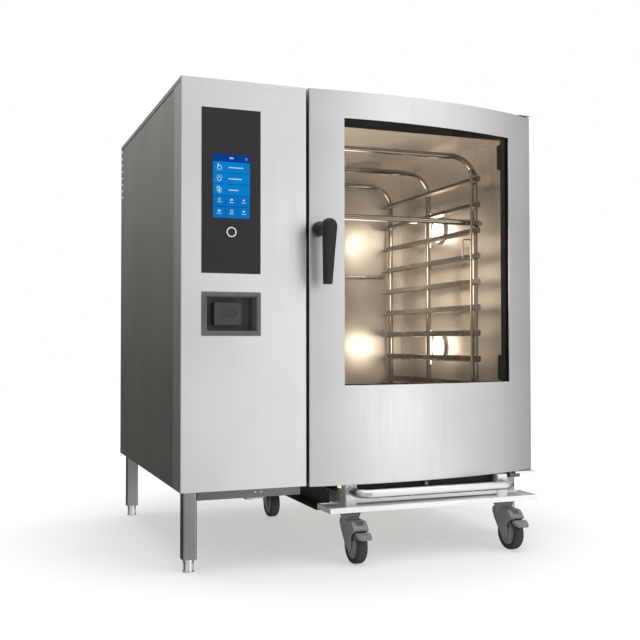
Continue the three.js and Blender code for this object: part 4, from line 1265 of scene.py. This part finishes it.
def pedal(place):
    """A wide flat paddle that sticks out below the housing's nose, ribbed for the shoe."""
    name = f"pedal_{place}"
    box = Box(f"brake_{name}")
    points = [(0, 91), (-1, 82), (-16.5, 77), (-32.5, 74.5), (-34.5, 77.5), (-26.5, 82), (-10.5, 91)]
    side = filleted([(box.y1 + dy, z) for dy, z in points], 3, 4)
    made = build(name, Shape().prism("x", side, box.x0, box.x1))
    # The toe is rounded in plan by cutting its two front corners off along an arc.
    toe = box.y0 + 18
    half = box.width / 2
    around = [(box.x1 + 5, toe), (box.x1 + 5, box.y0 - 5), (box.x0 - 5, box.y0 - 5), (box.x0 - 5, toe)]
    arc = [(box.cx - half * math.cos(math.pi * i / 16), toe - 18 * math.sin(math.pi * i / 16))
           for i in range(17)]
    carve(made, Shape().prism("z", around + arc, box.z0 - 5, box.z1 + 5))
    piece(name, made, name, GREY_PLASTIC, [f"brake_{name}"], 1.2)
    ribs = Shape()
    for i in range(3):
        along = (i + 0.6) / 3.4
        y, z = box.y1 - 10.5 - 16 * along, 91 - 11 * along
        ribs.box(box.x0 + 7, box.x1 - 7, y - 1, y + 1, z - 2.5, z + 0.7)
    piece(f"pedal_ribs_{place}", ribs, name, DARK_PLASTIC, (), 0.3)


# ---- stage ----
LAMP_LIGHT = (1.0, 0.885, 0.76)
# The studio's light by bearing, in degrees from +Y over +X, so the oven faces 180.
FRONT_LIGHT = ((60, 0.42), (95, 0.46), (112, 0.52), (125, 0.96), (141, 1.30), (152, 1.34), (162, 0.97),
               (170, 0.71), (190, 0.66), (235, 0.72), (290, 0.66))
# Its light beside and behind the oven by height, from 0 straight down to 1 straight up.
SIDE_LIGHT = ((0, (0.08, 0.078, 0.075)), (1, (0.9, 0.9, 0.9)), (0.40, (0.085, 0.083, 0.08)),
              (0.49, (0.11, 0.108, 0.104)), (0.56, (0.25, 0.246, 0.24)), (0.66, (0.56, 0.555, 0.545)))
# The share of the front light at each bearing; the rest is the light beside and behind.
FRONT_SPAN = ((75, 0.0), (110, 1.0), (235, 1.0), (285, 0.0))


def by_bearing(ends, stops):
    """Ramp stops by share of a full turn, with one light at both ends of the turn."""
    return [(0, ends), (1, ends)] + [(degrees / 360, light) for degrees, light in stops]


def studio():
    """A soft white studio: bright in front, darker to the left and behind, white where it is looked at."""
    scene = bpy.context.scene
    scene.view_settings.view_transform = "Standard"
    scene.world = bpy.data.worlds.new("studio")
    g = Graph(scene.world)
    toward = g.node("SeparateXYZ", Vector=g.node("TexCoord").outputs["Generated"]).outputs
    turn = g.math("DIVIDE", g.math("ARCTAN2", toward["X"], toward["Y"]), 2 * math.pi)
    share = g.math("FRACT", g.math("ADD", turn, 1.0), 0.0)
    height = g.math("ADD", g.math("MULTIPLY", toward["Z"], 0.5), 0.5)
    light = g.node("Mix", data_type="RGBA", Factor=g.ramp(share, by_bearing(0.0, FRONT_SPAN)),
                   A=g.ramp(height, SIDE_LIGHT), B=g.ramp(share, by_bearing(0.5, FRONT_LIGHT)))
    soft = g.node("Background", Color=light.outputs["Result"])
    white = g.node("Background", Color=(1, 1, 1, 1))
    seen = g.node("LightPath").outputs["Is Camera Ray"]
    g.node("OutputWorld", Surface=g.mix_shaders(seen, soft, white))


def floor():
    """Half of the floor's light is its own, as on a lit table, and more of it away from the object: the
    weaker glow near the object is a painted shadow round it.
    """
    size = 9000
    corners = [(-size, -size, 0), (size, -size, 0), (size, size, 0), (-size, size, 0)]
    plane = build("floor", Shape().add(corners, [[0, 1, 2, 3]]), closed=False)
    g = Finish("pale_floor")
    g.set(Base_Color=g.tint(g.noise(3.0, 2.0), (0.90, 0.90, 0.90), (0.93, 0.93, 0.93)),
          Roughness=0.7, Specular_IOR_Level=0.1)
    # The glow grows with distance from the object, which paints a shadow round it that fades out.
    distance = g.node("VectorMath", operation="LENGTH", Vector=g.coords).outputs["Value"]
    glow = g.node("Emission", Strength=g.spread(distance, 0.96, 1.35, 0.65, 1.15))
    g.feed(g.output.inputs["Surface"], g.mix_shaders(0.5, g.shader, glow))
    plane.data.materials.append(g.material)
    plane.visible_glossy = False


def add_light(name, kind, place, power, colour):
    data = bpy.data.lights.new(name, kind)
    data.energy = power
    data.color = colour
    made = bpy.data.objects.new(name, data)
    made.location = place
    bpy.context.scene.collection.objects.link(made)
    return made


def area_light(name, place, target, size, power, colour=(1, 1, 1)):
    made = add_light(name, "AREA", place, power, colour)
    made.data.shape = "RECTANGLE"
    made.data.size, made.data.size_y = size
    made.rotation_euler = (Vector(target) - Vector(place)).to_track_quat("-Z", "Y").to_euler()
    return made


def round_light(name, place, radius, power):
    made = add_light(name, "POINT", place, power, LAMP_LIGHT)
    made.data.shadow_soft_size = radius
    made.visible_camera = False


def lights():
    """Two studio lights, and inside the cavity the light of its lamps."""
    area_light("overhead", (0.2, -0.6, 4.2), (0, 0, 0.6), (4.5, 4.5), 95)
    area_light("softbox", (1.15, -3.0, 0.9), (0.1, -0.4, 0.7), (1.5, 2.2), 3.2)
    for place in ("upper", "lower"):
        box = Box(f"lamp_{place}")
        x, y, z = box.x0 * MM, box.cy * MM, box.cz * MM
        glow = area_light(f"lamp_glow_{place}", (x - 0.004, y, z), (-1, y - 0.1, z), (0.12, 0.12), 0.32,
                          LAMP_LIGHT)
        glow.data.spread = math.radians(175)
        round_light(f"lamp_halo_{place}", (x - 0.045, y + 0.07, z), 0.04, 0.42)
    liner = Box("cavity_liner")
    middle = (liner.cx * MM - 0.05, liner.y0 * MM + 0.3, liner.cz * MM + 0.1)
    round_light("cavity_fill", middle, 0.16, 5.4)


def camera():
    """The photo's camera, solved from the straight edges of the oven's body."""
    data = bpy.data.cameras.new("camera")
    data.lens = 52.61
    data.sensor_width = 36
    made = bpy.data.objects.new("camera", data)
    bpy.context.scene.collection.objects.link(made)
    made.location = (-1.0849, -2.8061, 0.6030)
    made.rotation_euler = (math.radians(91.37), math.radians(0.06), math.radians(-21.05))
    bpy.context.scene.camera = made


cabinet_skin()
cabinet_sheets()
base()
touch_panel()
hand_shower()
door_skin()
panes()
tunnel()
lever()
hinges()
door_back()
cavity()
rack()
trolley()
for corner in CORNERS:
    fork(corner)
    wheel(corner)
    if "front" in corner:
        pedal(corner)
studio()
floor()
lights()
camera()
